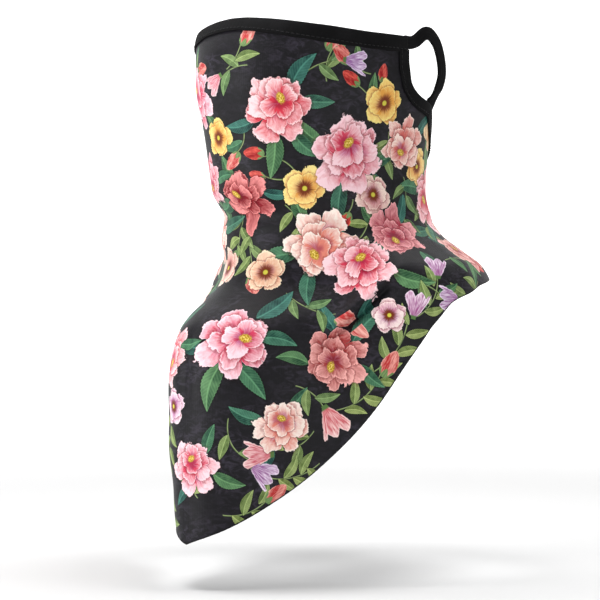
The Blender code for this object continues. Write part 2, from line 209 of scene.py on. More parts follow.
# The print: large ruffled blooms, open blossoms and sprays, laid out on one half of the tube
BLOOMS = table(
    "Bloom", "turn height radius tone spin leaves leaf_start",
    (21, -0.047, 0.0226, 0.1, 20, 5, 200),
    (84, -0.064, 0.0186, 0.72, 70, 3, 215),
    (50, -0.074, 0.0243, 0.22, 135, 5, 150),
    (4, -0.1, 0.0198, 0.48, 40, 3, 10),
    (76, -0.121, 0.0192, 0.42, 10, 4, 290),
    (37, -0.128, 0.0232, 0.95, 215, 4, 120),
    (55, -0.143, 0.022, 0.18, 300, 4, 270),
    (12, -0.186, 0.0243, 0.3, 80, 5, 190),
    (44, -0.196, 0.0209, 0.55, 170, 4, 330),
    (26, -0.238, 0.0175, 0.88, 250, 3, 60),
    (3, -0.262, 0.0169, 0.25, 120, 3, 240),
    (118, -0.098, 0.0226, 0.15, 60, 4, 30),
    (112, -0.133, 0.0181, 0.6, 200, 3, 140),
    (150, -0.122, 0.0215, 0.9, 330, 4, 300),
    (163, -0.086, 0.0169, 0.35, 20, 3, 180),
    (164, -0.037, 0.0209, 0.3, 90, 4, 100),
    (170, -0.196, 0.0198, 0.12, 150, 4, 20),
    (142, -0.168, 0.0209, 0.66, 230, 4, 250),
    (160, -0.258, 0.018, 0.55, 200, 3, 30),
    (119, -0.17, 0.0185, 0.85, 50, 4, 200),
    (140, -0.06, 0.0181, 0.8, 310, 3, 330),
)
BLOSSOMS = table(
    "Blossom", "turn height radius tone spin",
    (68, -0.041, 0.015, 0.1, 15),
    (30, -0.094, 0.014, 0.15, 48),
    (64, -0.097, 0.0135, 0.75, 80),
    (12, -0.145, 0.0145, 0.6, 30),
    (-5, -0.226, 0.012, 0.95, 10),
    (64, -0.171, 0.0115, 0.85, 64),
    (98, -0.078, 0.0125, 0.2, 25),
    (131, -0.116, 0.013, 0.55, 5),
    (175, -0.062, 0.0135, 0.12, 55),
    (168, -0.142, 0.0135, 0.7, 33),
    (157, -0.225, 0.0125, 0.2, 12),
    (125, -0.2, 0.013, 0.65, 70),
    (113, -0.054, 0.0135, 0.5, 20),
    (146, -0.234, 0.0115, 0.9, 40),
)
# A spray runs from its foot at an angle (0 is towards the wearer's left, 90 is up), bowed, in leafed steps
SPRAYS = table(
    "Spray", "turn height angle length bow leaves tone tip tip_tone tip_size",
    (40, -0.03, 80, 0.02, 0.002, 1, 0.8, "bud", 0.1, 0.0085),
    (33, -0.024, 12, 0.026, 0.003, 2, 0.7, "bell", 0.9, 0.009),
    (60, -0.024, 150, 0.016, 0.002, 1, 0.65, "bud", 0.3, 0.008),
    (4, -0.022, 60, 0.018, -0.002, 1, 0.85, "bud", 0.15, 0.0085),
    (12, -0.02, 200, 0.02, -0.002, 2, 0.75, "bell", 0.35, 0.0085),
    (78, -0.026, 75, 0.014, 0.001, 0, 0.6, "bud", 0.4, 0.006),
    (72, -0.058, 250, 0.03, 0.004, 3, 0.85, "bud", 0.35, 0.0075),
    (64, -0.048, 130, 0.022, -0.002, 1, 0.55, "bud", 0.5, 0.007),
    (68, -0.046, 95, 0.019, 0.002, 0, 0.55, "bud", 0.47, 0.006),
    (8, -0.06, 240, 0.014, 0.002, 1, 0.4, "bud", 0.2, 0.0075),
    (52, -0.1, 250, 0.01, 0.001, 0, 0.55, "bud", 0.5, 0.0065),
    (27, -0.084, 155, 0.022, -0.003, 0, 0.6, "bud", 0.5, 0.007),
    (26, -0.087, 178, 0.018, 0.002, 0, 0.6, "bud", 0.46, 0.0055),
    (62, -0.11, 225, 0.032, 0.005, 4, 0.9, "", 0, 0),
    (20, -0.106, 285, 0.03, 0.005, 4, 0.88, "", 0, 0),
    (86, -0.085, 265, 0.032, 0.004, 4, 0.75, "bud", 0.15, 0.008),
    (4, -0.118, 280, 0.03, -0.004, 4, 0.85, "bud", 0.25, 0.0085),
    (24, -0.158, 330, 0.034, -0.004, 3, 0.7, "bud", 0.12, 0.0105),
    (70, -0.15, 330, 0.032, 0.004, 2, 0.6, "bud", 0.2, 0.0085),
    (90, -0.136, 345, 0.03, 0.003, 3, 0.55, "bud", 0.45, 0.007),
    (74, -0.172, 60, 0.028, -0.004, 4, 0.92, "bell", 0.8, 0.009),
    (58, -0.205, 58, 0.04, -0.005, 6, 0.95, "bell", 0.75, 0.0095),
    (44, -0.228, 40, 0.036, -0.005, 5, 0.95, "bud", 0.18, 0.009),
    (30, -0.213, 320, 0.024, 0.003, 2, 0.8, "bell", 0.1, 0.0115),
    (36, -0.24, 205, 0.026, 0.004, 3, 0.9, "bell", 0.2, 0.0105),
    (12, -0.232, 300, 0.03, -0.006, 2, 0.82, "bell", 0.85, 0.01),
    (22, -0.268, 15, 0.032, -0.004, 5, 0.97, "", 0, 0),
    (10, -0.29, 20, 0.03, -0.004, 4, 0.95, "bud", 0.22, 0.008),
    (4, -0.28, 100, 0.012, 0.002, 2, 0.9, "", 0, 0),
    (-8, -0.246, 250, 0.026, -0.004, 4, 0.9, "bell", 0.6, 0.009),
    (100, -0.096, 285, 0.026, 0.003, 3, 0.8, "bud", 0.3, 0.008),
    (104, -0.06, 320, 0.026, 0.003, 3, 0.7, "bell", 0.15, 0.0095),
    (134, -0.084, 290, 0.028, -0.003, 4, 0.88, "bud", 0.2, 0.0085),
    (126, -0.136, 20, 0.03, 0.003, 3, 0.75, "bell", 0.7, 0.009),
    (176, -0.108, 260, 0.028, 0.004, 4, 0.9, "bud", 0.15, 0.0085),
    (152, -0.03, 20, 0.024, 0.003, 2, 0.8, "bud", 0.25, 0.0085),
    (130, -0.02, 30, 0.022, 0.002, 2, 0.7, "bell", 0.2, 0.009),
    (148, -0.09, 80, 0.022, 0.002, 2, 0.6, "bud", 0.4, 0.007),
    (156, -0.152, 200, 0.03, 0.004, 3, 0.92, "bud", 0.3, 0.008),
    (150, -0.196, 220, 0.034, 0.004, 5, 0.94, "bell", 0.25, 0.01),
    (118, -0.04, 75, 0.014, 0.002, 0, 0.6, "bud", 0.5, 0.0065),
    (122, -0.044, 120, 0.016, -0.002, 1, 0.6, "bud", 0.2, 0.0075),
    (104, -0.15, 200, 0.026, 0.004, 3, 0.85, "bell", 0.85, 0.009),
    (130, -0.222, 230, 0.03, 0.004, 4, 0.95, "bud", 0.2, 0.0085),
    (168, -0.276, 300, 0.026, -0.003, 4, 0.92, "", 0, 0),
    (156, -0.06, 250, 0.016, 0.002, 1, 0.4, "bud", 0.48, 0.007),
    (172, -0.228, 260, 0.034, 0.004, 5, 0.95, "bell", 0.8, 0.0095),
)

# Colours that a tone picks, as stops of the tone and linear colours
BLOOM_DEEP = ((0, (0.62, 0.03, 0.04)), (0.3, (0.62, 0.05, 0.11)), (0.48, (0.24, 0.006, 0.014)),
              (0.7, (0.62, 0.13, 0.11)), (1, (0.76, 0.25, 0.18)))
BLOOM_PALE = ((0, (0.97, 0.64, 0.64)), (0.3, (0.97, 0.69, 0.76)), (0.48, (0.86, 0.3, 0.29)),
              (0.7, (0.96, 0.76, 0.68)), (1, (0.97, 0.86, 0.78)))
BLOSSOM_DEEP = ((0, (0.74, 0.33, 0.03)), (0.5, (0.78, 0.4, 0.18)), (1, (0.42, 0.13, 0.36)))
BLOSSOM_PALE = ((0, (0.93, 0.76, 0.2)), (0.5, (0.93, 0.76, 0.48)), (1, (0.9, 0.74, 0.83)))
BUD_DEEP = ((0, (0.6, 0.05, 0.05)), (0.5, (0.3, 0.006, 0.008)), (1, (0.6, 0.3, 0.3)))
BUD_PALE = ((0, (0.94, 0.62, 0.54)), (0.5, (0.78, 0.11, 0.08)), (1, (0.93, 0.7, 0.65)))
BELL_DEEP = ((0, (0.64, 0.1, 0.11)), (0.5, (0.52, 0.12, 0.2)), (1, (0.2, 0.08, 0.33)))
BELL_PALE = ((0, (0.94, 0.66, 0.62)), (0.5, (0.93, 0.7, 0.74)), (1, (0.82, 0.72, 0.92)))
LEAF_DEEP = ((0, (0.002, 0.022, 0.026)), (0.5, (0.004, 0.045, 0.024)), (1, (0.08, 0.13, 0.02)))
LEAF_PALE = ((0, (0.06, 0.23, 0.19)), (0.5, (0.13, 0.32, 0.14)), (1, (0.48, 0.56, 0.2)))
STAMENS = ((0.36, (0.22, 0.1, 0.004)), (0.5, (0.62, 0.4, 0.03)), (0.62, (0.88, 0.72, 0.22)))
THROAT = (0.16, 0.03, 0.008, 1.0)
POLLEN = (0.62, 0.56, 0.06, 1.0)
STEM_DEEP = (0.07, 0.12, 0.035, 1.0)
STEM_PALE = (0.33, 0.42, 0.18, 1.0)
CALYX_DEEP = (0.02, 0.08, 0.02, 1.0)
CALYX_PALE = (0.28, 0.42, 0.16, 1.0)
BELL_CAP = (0.09, 0.18, 0.05, 1.0)

# The rings of petals of the two round flowers, in the flower's own size
BLOOM_RINGS = table(
    "Ring", "petals radius offset notch ruffle turn",
    (6, 0.95, 0.0, 0.50, 0.30, 0.0),
    (5, 0.74, 0.14, 0.42, 0.26, 1.1),
    (4, 0.50, 0.26, 0.40, 0.22, 2.3),
)
BLOSSOM_RINGS = table(
    "Ring", "petals radius offset notch ruffle turn",
    (5, 0.94, 0.0, 0.34, 0.18, 0.0),
    (3, 0.72, 0.0, 0.30, 0.18, 0.9),
)


def hermite(t, start, end, leave, arrive):
    """A smooth step from start to end as t goes from 0 to 1, with the slopes at both."""
    return (
        start * (1 + 2 * t) * (1 - t) ** 2
        + end * t * t * (3 - 2 * t)
        + leave * t * (1 - t) ** 2
        - arrive * t * t * (1 - t)
    )


def smooth(xs, ys, x):
    """Values at x of a smooth curve through the points, which doesn't overshoot them."""
    xs = np.asarray(xs, float)
    ys = np.asarray(ys, float)
    if xs[0] > xs[-1]:
        xs = xs[::-1]
        ys = ys[::-1]
    steps = np.diff(xs)
    slopes = np.diff(ys) / steps
    product = slopes[:-1] * slopes[1:]
    level = product <= 0.0
    inner = np.where(level, 0.0, 2.0 * product / np.where(level, 1.0, slopes[:-1] + slopes[1:]))
    tangents = np.concatenate([slopes[:1], inner, slopes[-1:]])
    i = np.clip(np.searchsorted(xs, x) - 1, 0, len(steps) - 1)
    t = (np.asarray(x, float) - xs[i]) / steps[i]
    return hermite(t, ys[i], ys[i + 1], tangents[i] * steps[i], tangents[i + 1] * steps[i])


def fold_rise(turn, height, radius):
    """How far the folds lift the cloth."""
    rise = np.zeros_like(radius)
    for fold in FOLDS:
        along = np.radians(fold.end_turn - fold.turn) * FOLD_RADIUS
        down = fold.end_height - fold.height
        off = (turn - fold.turn + 180.0) % 360.0 - 180.0
        x = np.radians(off) * FOLD_RADIUS
        y = height - fold.height
        share = np.clip((x * along + y * down) / (along * along + down * down), 0.0, 1.0)
        distance = np.hypot(x - along * share, y - down * share)
        fade = 0.35 + 0.65 * np.sin(np.pi * np.clip(share, 0.05, 0.95))
        rise = rise + fold.rise * fade * np.exp(-((distance / fold.width) ** 2))
    return rise


def drift(turn, height):
    """Slow unevenness of worn cloth, growing towards the free hem."""
    a = np.radians(turn)
    slack = np.clip((-height - 0.10) / 0.10, 0.15, 1.0)
    long_wave = np.sin(5 * a + 31 * height) + 0.4 * np.sin(3 * a + 95 * height)
    short_wave = 0.6 * np.sin(9 * a - 47 * height + 1.3)
    return 0.00045 * slack * (long_wave + short_wave)


def cloth_points(turn, height):
    """Points on the middle of the cloth's wall, at arrays of turns and heights."""
    turn, height = np.broadcast_arrays(np.asarray(turn, float), np.asarray(height, float))
    heights, *columns = zip(*SECTIONS)
    front, side, back, point, square = (smooth(heights, column, height) for column in columns)
    across = np.sin(np.radians(turn))
    ahead = np.cos(np.radians(turn))
    reach = np.where(ahead > 0.0, front - AXIS, back + AXIS)
    power = np.where(ahead > 0.0, point, square)
    power = 2.0 + (power - 2.0) * np.sqrt(np.abs(2.0 * across * ahead))
    radius = (np.abs(across / side) ** power + np.abs(ahead / reach) ** power) ** (-1.0 / power)
    radius = radius + fold_rise(turn, height, radius) + drift(turn, height)
    return np.stack([radius * across, -AXIS - radius * ahead, height], -1)


def unit(vectors):
    return vectors / np.linalg.norm(vectors, axis=-1, keepdims=True)


def directions(turn, height):
    """The cloth's slopes with turn and with height, and its outward normals."""
    by_turn = cloth_points(turn + 0.5, height) - cloth_points(turn - 0.5, height)
    by_height = (cloth_points(turn, height + 0.0005) - cloth_points(turn, height - 0.0005)) / 0.001
    return by_turn, by_height, unit(np.cross(by_turn, by_height))


def edge_heights(rows, turn):
    return smooth(*zip(*rows), turn)


def edge_stations(rows, columns):
    """Turns and heights along an edge, at even shares of its turn."""
    turns = np.linspace(rows[0].turn, rows[-1].turn, columns + 1)
    return np.stack([turns, edge_heights(rows, turns)], -1)


def ear_stations(columns):
    """Turns and heights down the front of an ear cut-out and round its foot."""
    shares = np.linspace(0.0, 1.0, len(EAR_EDGE))
    places = np.linspace(0.0, 1.0, columns + 1)
    return np.stack([smooth(shares, column, places) for column in zip(*EAR_EDGE)], -1)


def run_lengths(points):
    """How far along a line each of its points lies."""
    return np.concatenate([[0.0], np.cumsum(np.linalg.norm(np.diff(points, axis=0), axis=1))])


def even_steps(stations, step):
    """The same run of stations, resampled at even steps over the cloth."""
    run = run_lengths(cloth_points(*stations.T))
    at = np.linspace(0.0, run[-1], max(int(run[-1] / step), 2) + 1)
    return np.stack([np.interp(at, run, column) for column in stations.T], -1)


def choose(thing):
    if bpy.context.object is not None and bpy.context.object.mode != "OBJECT":
        bpy.ops.object.mode_set(mode="OBJECT")
    bpy.ops.object.select_all(action="DESELECT")
    thing.select_set(True)
    bpy.context.view_layer.objects.active = thing


def apply_modifiers(thing):
    choose(thing)
    for modifier in list(thing.modifiers):
        bpy.ops.object.modifier_apply(modifier=modifier.name)


def mesh_object(name, points, faces):
    mesh = bpy.data.meshes.new(name)
    mesh.from_pydata([tuple(point) for point in points], [], faces)
    mesh.update()
    thing = bpy.data.objects.new(name, mesh)
    bpy.context.scene.collection.objects.link(thing)
    return thing


def finish_mesh(thing, material):
    """Turns all faces outwards, shades them smooth and gives them a material."""
    bm = bmesh.new()
    bm.from_mesh(thing.data)
    bmesh.ops.recalc_face_normals(bm, faces=bm.faces)
    bm.to_mesh(thing.data)
    bm.free()
    thing.data.shade_smooth()
    thing.data.materials.append(material)


def grid_faces(rows, columns, closed_rows=False, closed_columns=False):
    """Faces of a grid whose points run along each row in turn."""
    faces = []
    for i in range(rows if closed_rows else rows - 1):
        upper = i * columns
        lower = (i + 1) % rows * columns
        for j in range(columns if closed_columns else columns - 1):
            k = (j + 1) % columns
            faces.append((upper + j, lower + j, lower + k, upper + k))
    return faces


def mesh_numbers(items, name, columns=1, kind=float):
    """One property of all faces, corners or points of a mesh."""
    numbers = np.zeros(len(items) * columns, kind)
    items.foreach_get(name, numbers)
    return numbers.reshape(-1, columns) if columns > 1 else numbers


def corner_places(mesh):
    """Where each corner of each face lies, and the number of its face."""
    places = mesh_numbers(mesh.vertices, "co", 3)[mesh_numbers(mesh.loops, "vertex_index", kind=np.int32)]
    total = mesh_numbers(mesh.polygons, "loop_total", kind=np.int32)
    return places, np.repeat(np.arange(len(total)), total)


def place_in_frame(thing, slot, node=None):
    if node is not None:
        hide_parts(node)
    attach(thing, "root")


class Value:
    """A number that a shader tree works out, for use in sums."""

    def __init__(self, board, socket):
        self.board = board
        self.socket = socket

    def __add__(self, other):
        return self.board.math("ADD", self, other)

    def __sub__(self, other):
        return self.board.math("SUBTRACT", self, other)

    def __rsub__(self, other):
        return self.board.math("SUBTRACT", other, self)

    def __mul__(self, other):
        return self.board.math("MULTIPLY", self, other)

    def __truediv__(self, other):
        return self.board.math("DIVIDE", self, other)

    def __pow__(self, other):
        return self.board.math("POWER", self, other)

    def __abs__(self):
        return self.board.math("ABSOLUTE", self)


class Board:
    """Places nodes in one shader tree and joins them."""

    def __init__(self, tree):
        self.tree = tree

    def put(self, kind, **settings):
        node = self.tree.nodes.new(kind)
        for name, value in settings.items():
            setattr(node, name, value)
        return node

    def feed(self, socket, value):
        if isinstance(value, Value):
            value = value.socket
        if isinstance(value, bpy.types.NodeSocket):
            self.tree.links.new(value, socket)
        elif value is not None:
            socket.default_value = value

    def feed_all(self, sockets, values):
        for socket, value in zip(sockets, values):
            self.feed(socket, value)

    def math(self, operation, *values, clamp=False):
        node = self.put("ShaderNodeMath", operation=operation, use_clamp=clamp)
        self.feed_all(node.inputs, values)
        return Value(self, node.outputs[0])

    def clamped(self, value):
        return self.math("ADD", value, 0.0, clamp=True)

    def code_parts(self, code):
        """The seed and the tone that a motif's code holds."""
        return self.math("FLOOR", code), self.math("FRACT", code)

    def vector(self, operation, a, b=None):
        node = self.put("ShaderNodeVectorMath", operation=operation)
        self.feed_all(node.inputs, (a, b))
        return node.outputs["Vector"]

    def scaled(self, vector, factor):
        node = self.put("ShaderNodeVectorMath", operation="SCALE")
        self.feed(node.inputs[0], vector)
        self.feed(node.inputs["Scale"], factor)
        return node.outputs["Vector"]

    def length(self, vector):
        node = self.put("ShaderNodeVectorMath", operation="LENGTH")
        self.feed(node.inputs[0], vector)
        return Value(self, node.outputs["Value"])

    def split(self, vector):
        node = self.put("ShaderNodeSeparateXYZ")
        self.feed(node.inputs[0], vector)
        return [Value(self, socket) for socket in node.outputs]

    def join(self, x, y, z):
        node = self.put("ShaderNodeCombineXYZ")
        self.feed_all(node.inputs, (x, y, z))
        return node.outputs[0]

    def ease(self, value, low, high, to_low=0.0, to_high=1.0):
        """A smooth step from to_low to to_high as the value goes from low to high."""
        node = self.put("ShaderNodeMapRange", interpolation_type="SMOOTHSTEP")
        self.feed_all(node.inputs, (value, low, high, to_low, to_high))
        return Value(self, node.outputs[0])

    def mix(self, share, a, b, how="MIX"):
        node = self.put("ShaderNodeMix", data_type="RGBA", blend_type=how, clamp_factor=True)
        self.feed(node.inputs["Factor"], share)
        self.feed_all(node.inputs[6:8], (a, b))
        return node.outputs[2]

    def noise(self, vector, scale, detail=2.0, roughness=0.5, distortion=0.0):
        node = self.put("ShaderNodeTexNoise")
        self.feed(node.inputs["Vector"], vector)
        self.feed(node.inputs["Scale"], scale)
        self.feed(node.inputs["Detail"], detail)
        self.feed(node.inputs["Roughness"], roughness)
        self.feed(node.inputs["Distortion"], distortion)
        return Value(self, node.outputs["Fac"])

    def ramp(self, value, stops):
        node = self.put("ShaderNodeValToRGB")
        elements = node.color_ramp.elements
        while len(elements) < len(stops):
            elements.new(0.5)
        for element, (place, colour) in zip(elements, stops):
            element.position = place
            element.color = (*colour, 1.0)
        self.feed(node.inputs[0], value)
        return node.outputs[0]

    def tinted(self, tone, share, deep, pale):
        """A colour from the deep stops to the pale ones by its share, both picked by the tone."""
        return self.mix(share, self.ramp(tone, deep), self.ramp(tone, pale))

    def group(self, tree, **inputs):
        node = self.put("ShaderNodeGroup", node_tree=tree)
        for name, value in inputs.items():
            self.feed(node.inputs[name], value)
        return node.outputs[0]


def new_group(name, inputs, output):
    """An empty shader node group, its board and its inputs by name. Kinds are Float, Vector and Color."""
    tree = bpy.data.node_groups.new(name, "ShaderNodeTree")
    for title, kind in inputs:
        tree.interface.new_socket(title, in_out="INPUT", socket_type="NodeSocket" + kind)
    tree.interface.new_socket(output[0], in_out="OUTPUT", socket_type="NodeSocket" + output[1])
    board = Board(tree)
    sockets = board.put("NodeGroupInput").outputs
    given = {title: sockets[title] for title, kind in inputs}
    given.update({title: Value(board, sockets[title]) for title, kind in inputs if kind == "Float"})
    return tree, board, given


def close_group(board, value):
    board.feed(board.put("NodeGroupOutput").inputs[0], value)


def shared_group(name, build, *parts):
    """The node group of that name, built the first time that it is asked for."""
    return bpy.data.node_groups.get(name) or build(*parts)


def petal_ring():
    """One ring of ruffled petals over what lies under it."""
    numbers = ("Petals", "Radius", "Turn", "Notch", "Ruffle", "Sway", "Seed")
    tree, b, given = new_group(
        "petal_ring",
        [("Spot", "Vector"), ("Shift", "Vector")]
        + [(name, "Float") for name in numbers]
        + [(name, "Color") for name in ("Deep", "Pale", "Under")],
        ("Colour", "Color"),
    )
    petals, radius, turn, notch, ruffle, sway, seed = (given[name] for name in numbers)
    x, y, _ = b.split(b.vector("SUBTRACT", given["Spot"], given["Shift"]))
    seeded = b.join(x, y, seed)
    swing = b.noise(b.vector("ADD", seeded, (4.0, 7.0, 2.0)), 1.9, 1.0)
    x = x + (b.noise(seeded, 1.9, 1.0) - 0.5) * sway
    y = y + (swing - 0.5) * sway
    flat = b.join(x, y, 0.0)
    r = b.length(flat)
    share = (b.math("ARCTAN2", y, x) + turn) * petals * 0.5
    lobe = abs(b.math("COSINE", share))
    number = b.math("FLOORED_MODULO", b.math("FLOOR", share * (1.0 / math.pi) + 0.5), petals)
    own = b.noise(b.join(number * 3.37, seed, 0.5), 1.0, 0.0) - 0.5
    wobble = b.noise(seeded, 4.5, 2.0, 0.6) - 0.5
    ragged = b.noise(seeded, 15.0, 2.0, 0.6) - 0.5
    swell = own * 0.30 + 1.0 - notch * (1.0 - lobe**0.5)
    rim = radius * swell + wobble * ruffle + ragged * 0.13
    edge = rim - r
    streak_place = b.vector("ADD", b.vector("NORMALIZE", flat), b.join(0.0, 0.0, r * 0.6 + seed))
    streak = b.noise(streak_place, 8.0, 3.0, 0.7) - 0.5
    out = b.clamped(r / b.math("MAXIMUM", rim, 0.01))
    groove = (1.0 - lobe) ** 2.5
    lift = out**1.7 * 0.80 - 0.02 + streak * 1.5 + own * 1.3 + wobble * 0.7 - groove * 0.80
    lift = b.clamped(lift + b.ease(edge, 0.055, 0.0, 0.0, 0.65))
    fold = b.ease(out, 0.20, 0.70, 0.60, 1.0)
    petal = b.mix(lift, given["Deep"], given["Pale"])
    petal = b.mix(1.0, petal, b.join(fold, fold * fold, fold), "MULTIPLY")
    shade = b.ease(edge, -0.11, 0.0, 1.0, 0.45)
    under = b.mix(1.0, given["Under"], b.join(shade**0.6, shade, shade), "MULTIPLY")
    close_group(b, b.mix(b.ease(edge, -0.008, 0.010), under, petal))
    return tree


def motif_group(name, draw):
    """A node group that draws a motif over what lies under it, from a place in the motif and its code."""
    tree, b, given = new_group(name, (("Spot", "Vector"), ("Under", "Color")), ("Colour", "Color"))
    x, y, code = b.split(given["Spot"])
    close_group(b, draw(b, x, y, code, given["Under"]))
    return tree


def draw_rings(b, rings, spot, shift, seed, steps, sway, colours, under):
    """Rings of petals, each over the last. Each seed turns them by one step and varies them by the other."""
    for ring in rings:
        under = b.group(
            shared_group("petal_ring", petal_ring),
            Spot=spot, Shift=b.scaled(shift, ring.offset), Petals=ring.petals,
            Radius=ring.radius, Notch=ring.notch, Ruffle=ring.ruffle, Sway=sway,
            Turn=seed * steps[0] + ring.turn, Seed=seed * steps[1] + ring.turn,
            Deep=colours[0], Pale=colours[1], Under=under,
        )
    return under


def draw_bloom(b, x, y, code, under):
    """A ruffled bloom of three rings, seen partly from the side, with a yellow heart."""
    seed, tone = b.code_parts(code)
    spot = b.join(x, y, 0.0)
    shift = b.join(b.math("COSINE", seed * 2.4), b.math("SINE", seed * 2.4), 0.0)
    colours = (b.ramp(tone, BLOOM_DEEP), b.ramp(tone, BLOOM_PALE))
    colour = draw_rings(b, BLOOM_RINGS, spot, shift, seed, (0.7, 3.7), 0.42, colours, under)
    heart = b.vector("SUBTRACT", spot, b.scaled(shift, 0.34))
    grains = b.noise(heart, 22.0, 2.0, 0.6)
    reach = grains * 0.30 + b.length(b.vector("MULTIPLY", heart, (1.0, 1.5, 1.0)))
    return b.mix(b.ease(reach, 0.34, 0.28), colour, b.ramp(grains, STAMENS))


def draw_blossom(b, x, y, code, under):
    """An open blossom of five petals with a dark, veined throat."""
    seed, tone = b.code_parts(code)
    spot = b.join(x, y, 0.0)
    colours = (b.ramp(tone, BLOSSOM_DEEP), b.ramp(tone, BLOSSOM_PALE))
    colour = draw_rings(b, BLOSSOM_RINGS, spot, (0.0, 0.0, 0.0), seed, (0.9, 5.1), 0.30, colours, under)
    r = b.length(spot)
    veins = b.noise(b.vector("ADD", b.vector("NORMALIZE", spot), b.join(0.0, 0.0, seed)), 9.0, 1.0)
    throat = b.mix(b.ease(r - veins * 0.42, 0.24, -0.02), colour, THROAT)
    return b.mix(b.ease(r, 0.13, 0.08), throat, POLLEN)


def draw_leaf(b, x, y, code, under):
    """A pointed leaf with a midrib and side veins."""
    seed, tone = b.code_parts(code)
    yy = y * y
    x = x - b.math("SINE", seed * 1.7) * (yy * 0.22 - 0.08)
    side = abs(x)
    teeth = b.math("SINE", y * 46.0) * 0.04 + 1.0
    edge = b.clamped(1.0 - yy) ** 0.85 * (0.37 - y * 0.12) * teeth - side
    veins = abs(b.math("SINE", (y - side * 1.1) * 19.0)) ** 5.0
    cloud = b.noise(b.join(x, y, seed), 2.6, 2.0)
    lift = b.math("GREATER_THAN", x, 0.0) * 0.30 + cloud * 0.9 - 0.25 + veins * 0.16
    lift = b.clamped(lift + b.ease(edge, 0.07, 0.0, 0.0, 0.32) + b.ease(side, 0.05, 0.012, 0.0, 0.55))
    shade = b.ease(edge, -0.12, -0.01, 1.0, 0.6)
    under = b.mix(1.0, under, b.join(shade, shade, shade), "MULTIPLY")
    return b.mix(b.ease(edge, 0.0, 0.025), under, b.tinted(tone, lift, LEAF_DEEP, LEAF_PALE))


def draw_stem(b, x, y, bow, under):
    """A thin bowed stem: x runs along it from -1 to 1, y is in millimetres across, the code holds the bow."""
    off = y - bow * (1.0 - x * x)
    colour = b.mix(b.ease(off, -0.3, 0.3), STEM_DEEP, STEM_PALE)
    return b.mix(b.ease(abs(off), 0.55, 0.28) * b.ease(abs(x), 1.01, 0.98), under, colour)


def draw_bud(b, x, y, code, under):
    """A closed bud that points along y, in a green calyx."""
    seed, tone = b.code_parts(code)
    width = b.clamped(1.0 - y * y) ** 0.55 * (0.56 - y * 0.10)
    edge = width * (b.noise(b.join(x, y, seed), 5.0, 2.0) * 0.30 + 0.85) - abs(x)
    wrap = b.math("SINE", x * 7.0 + y * 2.4)
    streak = b.noise(b.join(x * 5.0, y, seed), 2.4, 2.0)
    lift = b.clamped(wrap * 0.34 + streak * 1.9 - 0.62 + b.ease(edge, 0.10, 0.0, 0.0, 0.50))
    tips = abs(b.math("COSINE", x * 6.5)) * 0.42
    calyx = b.ease(y - tips + 0.78, 0.03, -0.03)
    colour = b.mix(calyx, b.tinted(tone, lift, BUD_DEEP, BUD_PALE), b.mix(streak, CALYX_DEEP, CALYX_PALE))
    return b.mix(b.ease(edge, 0.0, 0.025), under, colour)


def draw_bell(b, x, y, code, under):
    """A nodding bell flower that opens along y into pointed lobes."""
    seed, tone = b.code_parts(code)
    width = b.ease(y, -1.0, 0.9, 0.16, 0.78) + b.ease(y, -0.9, -0.2, 0.0, 0.10)
    wobble = (b.noise(b.join(x, y, seed), 4.0, 2.0) - 0.5) * 0.16
    mouth = abs(b.math("SINE", x * 4.6 + 0.6)) * 0.38 + 0.52 + wobble - y
    edge = b.math("MINIMUM", b.math("MINIMUM", width + wobble - abs(x), mouth), y + 0.92)
    streak = b.noise(b.join(x * 3.0 / width, y * 0.6, seed), 3.0, 2.0)
    lift = streak * 2.6 - 1.0 + b.ease(edge, 0.12, 0.0, 0.0, 0.60)
    lift = b.clamped(lift + b.ease(y, -0.6, 0.7, -0.2, 0.25))
    colour = b.mix(b.ease(y, -0.62, -0.74), b.tinted(tone, lift, BELL_DEEP, BELL_PALE), BELL_CAP)
    return b.mix(b.ease(edge, -0.015, 0.025), under, colour)


def ground_group():
    """Mottled ground of the print, from a place in metres."""
    tree, b, given = new_group(
        "mottled_ground", (("Place", "Vector"), ("Dark", "Color"), ("Light", "Color")), ("Colour", "Color")
    )
    stretched = b.vector("MULTIPLY", given["Place"], (1.0, 1.0, 1.9))
    patch = b.ease(b.noise(stretched, 26.0, 2.0), 0.38, 0.66, 0.15, 1.0)
    fleck = b.noise(stretched, 150.0, 4.0, 0.62, 1.1)
    close_group(b, b.mix(patch * b.ease(fleck, 0.42, 0.66), given["Dark"], given["Light"]))
    return tree


def knit_group():
    """Height of a fine stretch knit, from a place on the cloth in metres."""
    tree, b, given = new_group("stretch_knit", (("Place", "Vector"), ("Pitch", "Float")), ("Height", "Float"))
    x, y, _ = b.split(given["Place"])
    wale = x * (2.0 * math.pi) / given["Pitch"]
    course = y * (2.0 * math.pi) / given["Pitch"]
    ribs = abs(b.math("SINE", wale * 0.5))
    close_group(b, b.math("SINE", course + ribs * 1.8) * 0.35 + ribs)
    return tree


def new_material(name, uv_map=None):
    """A material with its board, its shader, the place in metres and, if asked for, a UV map."""
    material = bpy.data.materials.new(name)
    material.use_nodes = True
    b = Board(material.node_tree)
    place = b.put("ShaderNodeTexCoord").outputs["Object"]
    uv = b.put("ShaderNodeUVMap", uv_map=uv_map).outputs["UV"] if uv_map else None
    return material, b, material.node_tree.nodes["Principled BSDF"], place, uv


def opaque(colour, lightness=1.0):
    return (*(lightness * c for c in colour), 1.0)


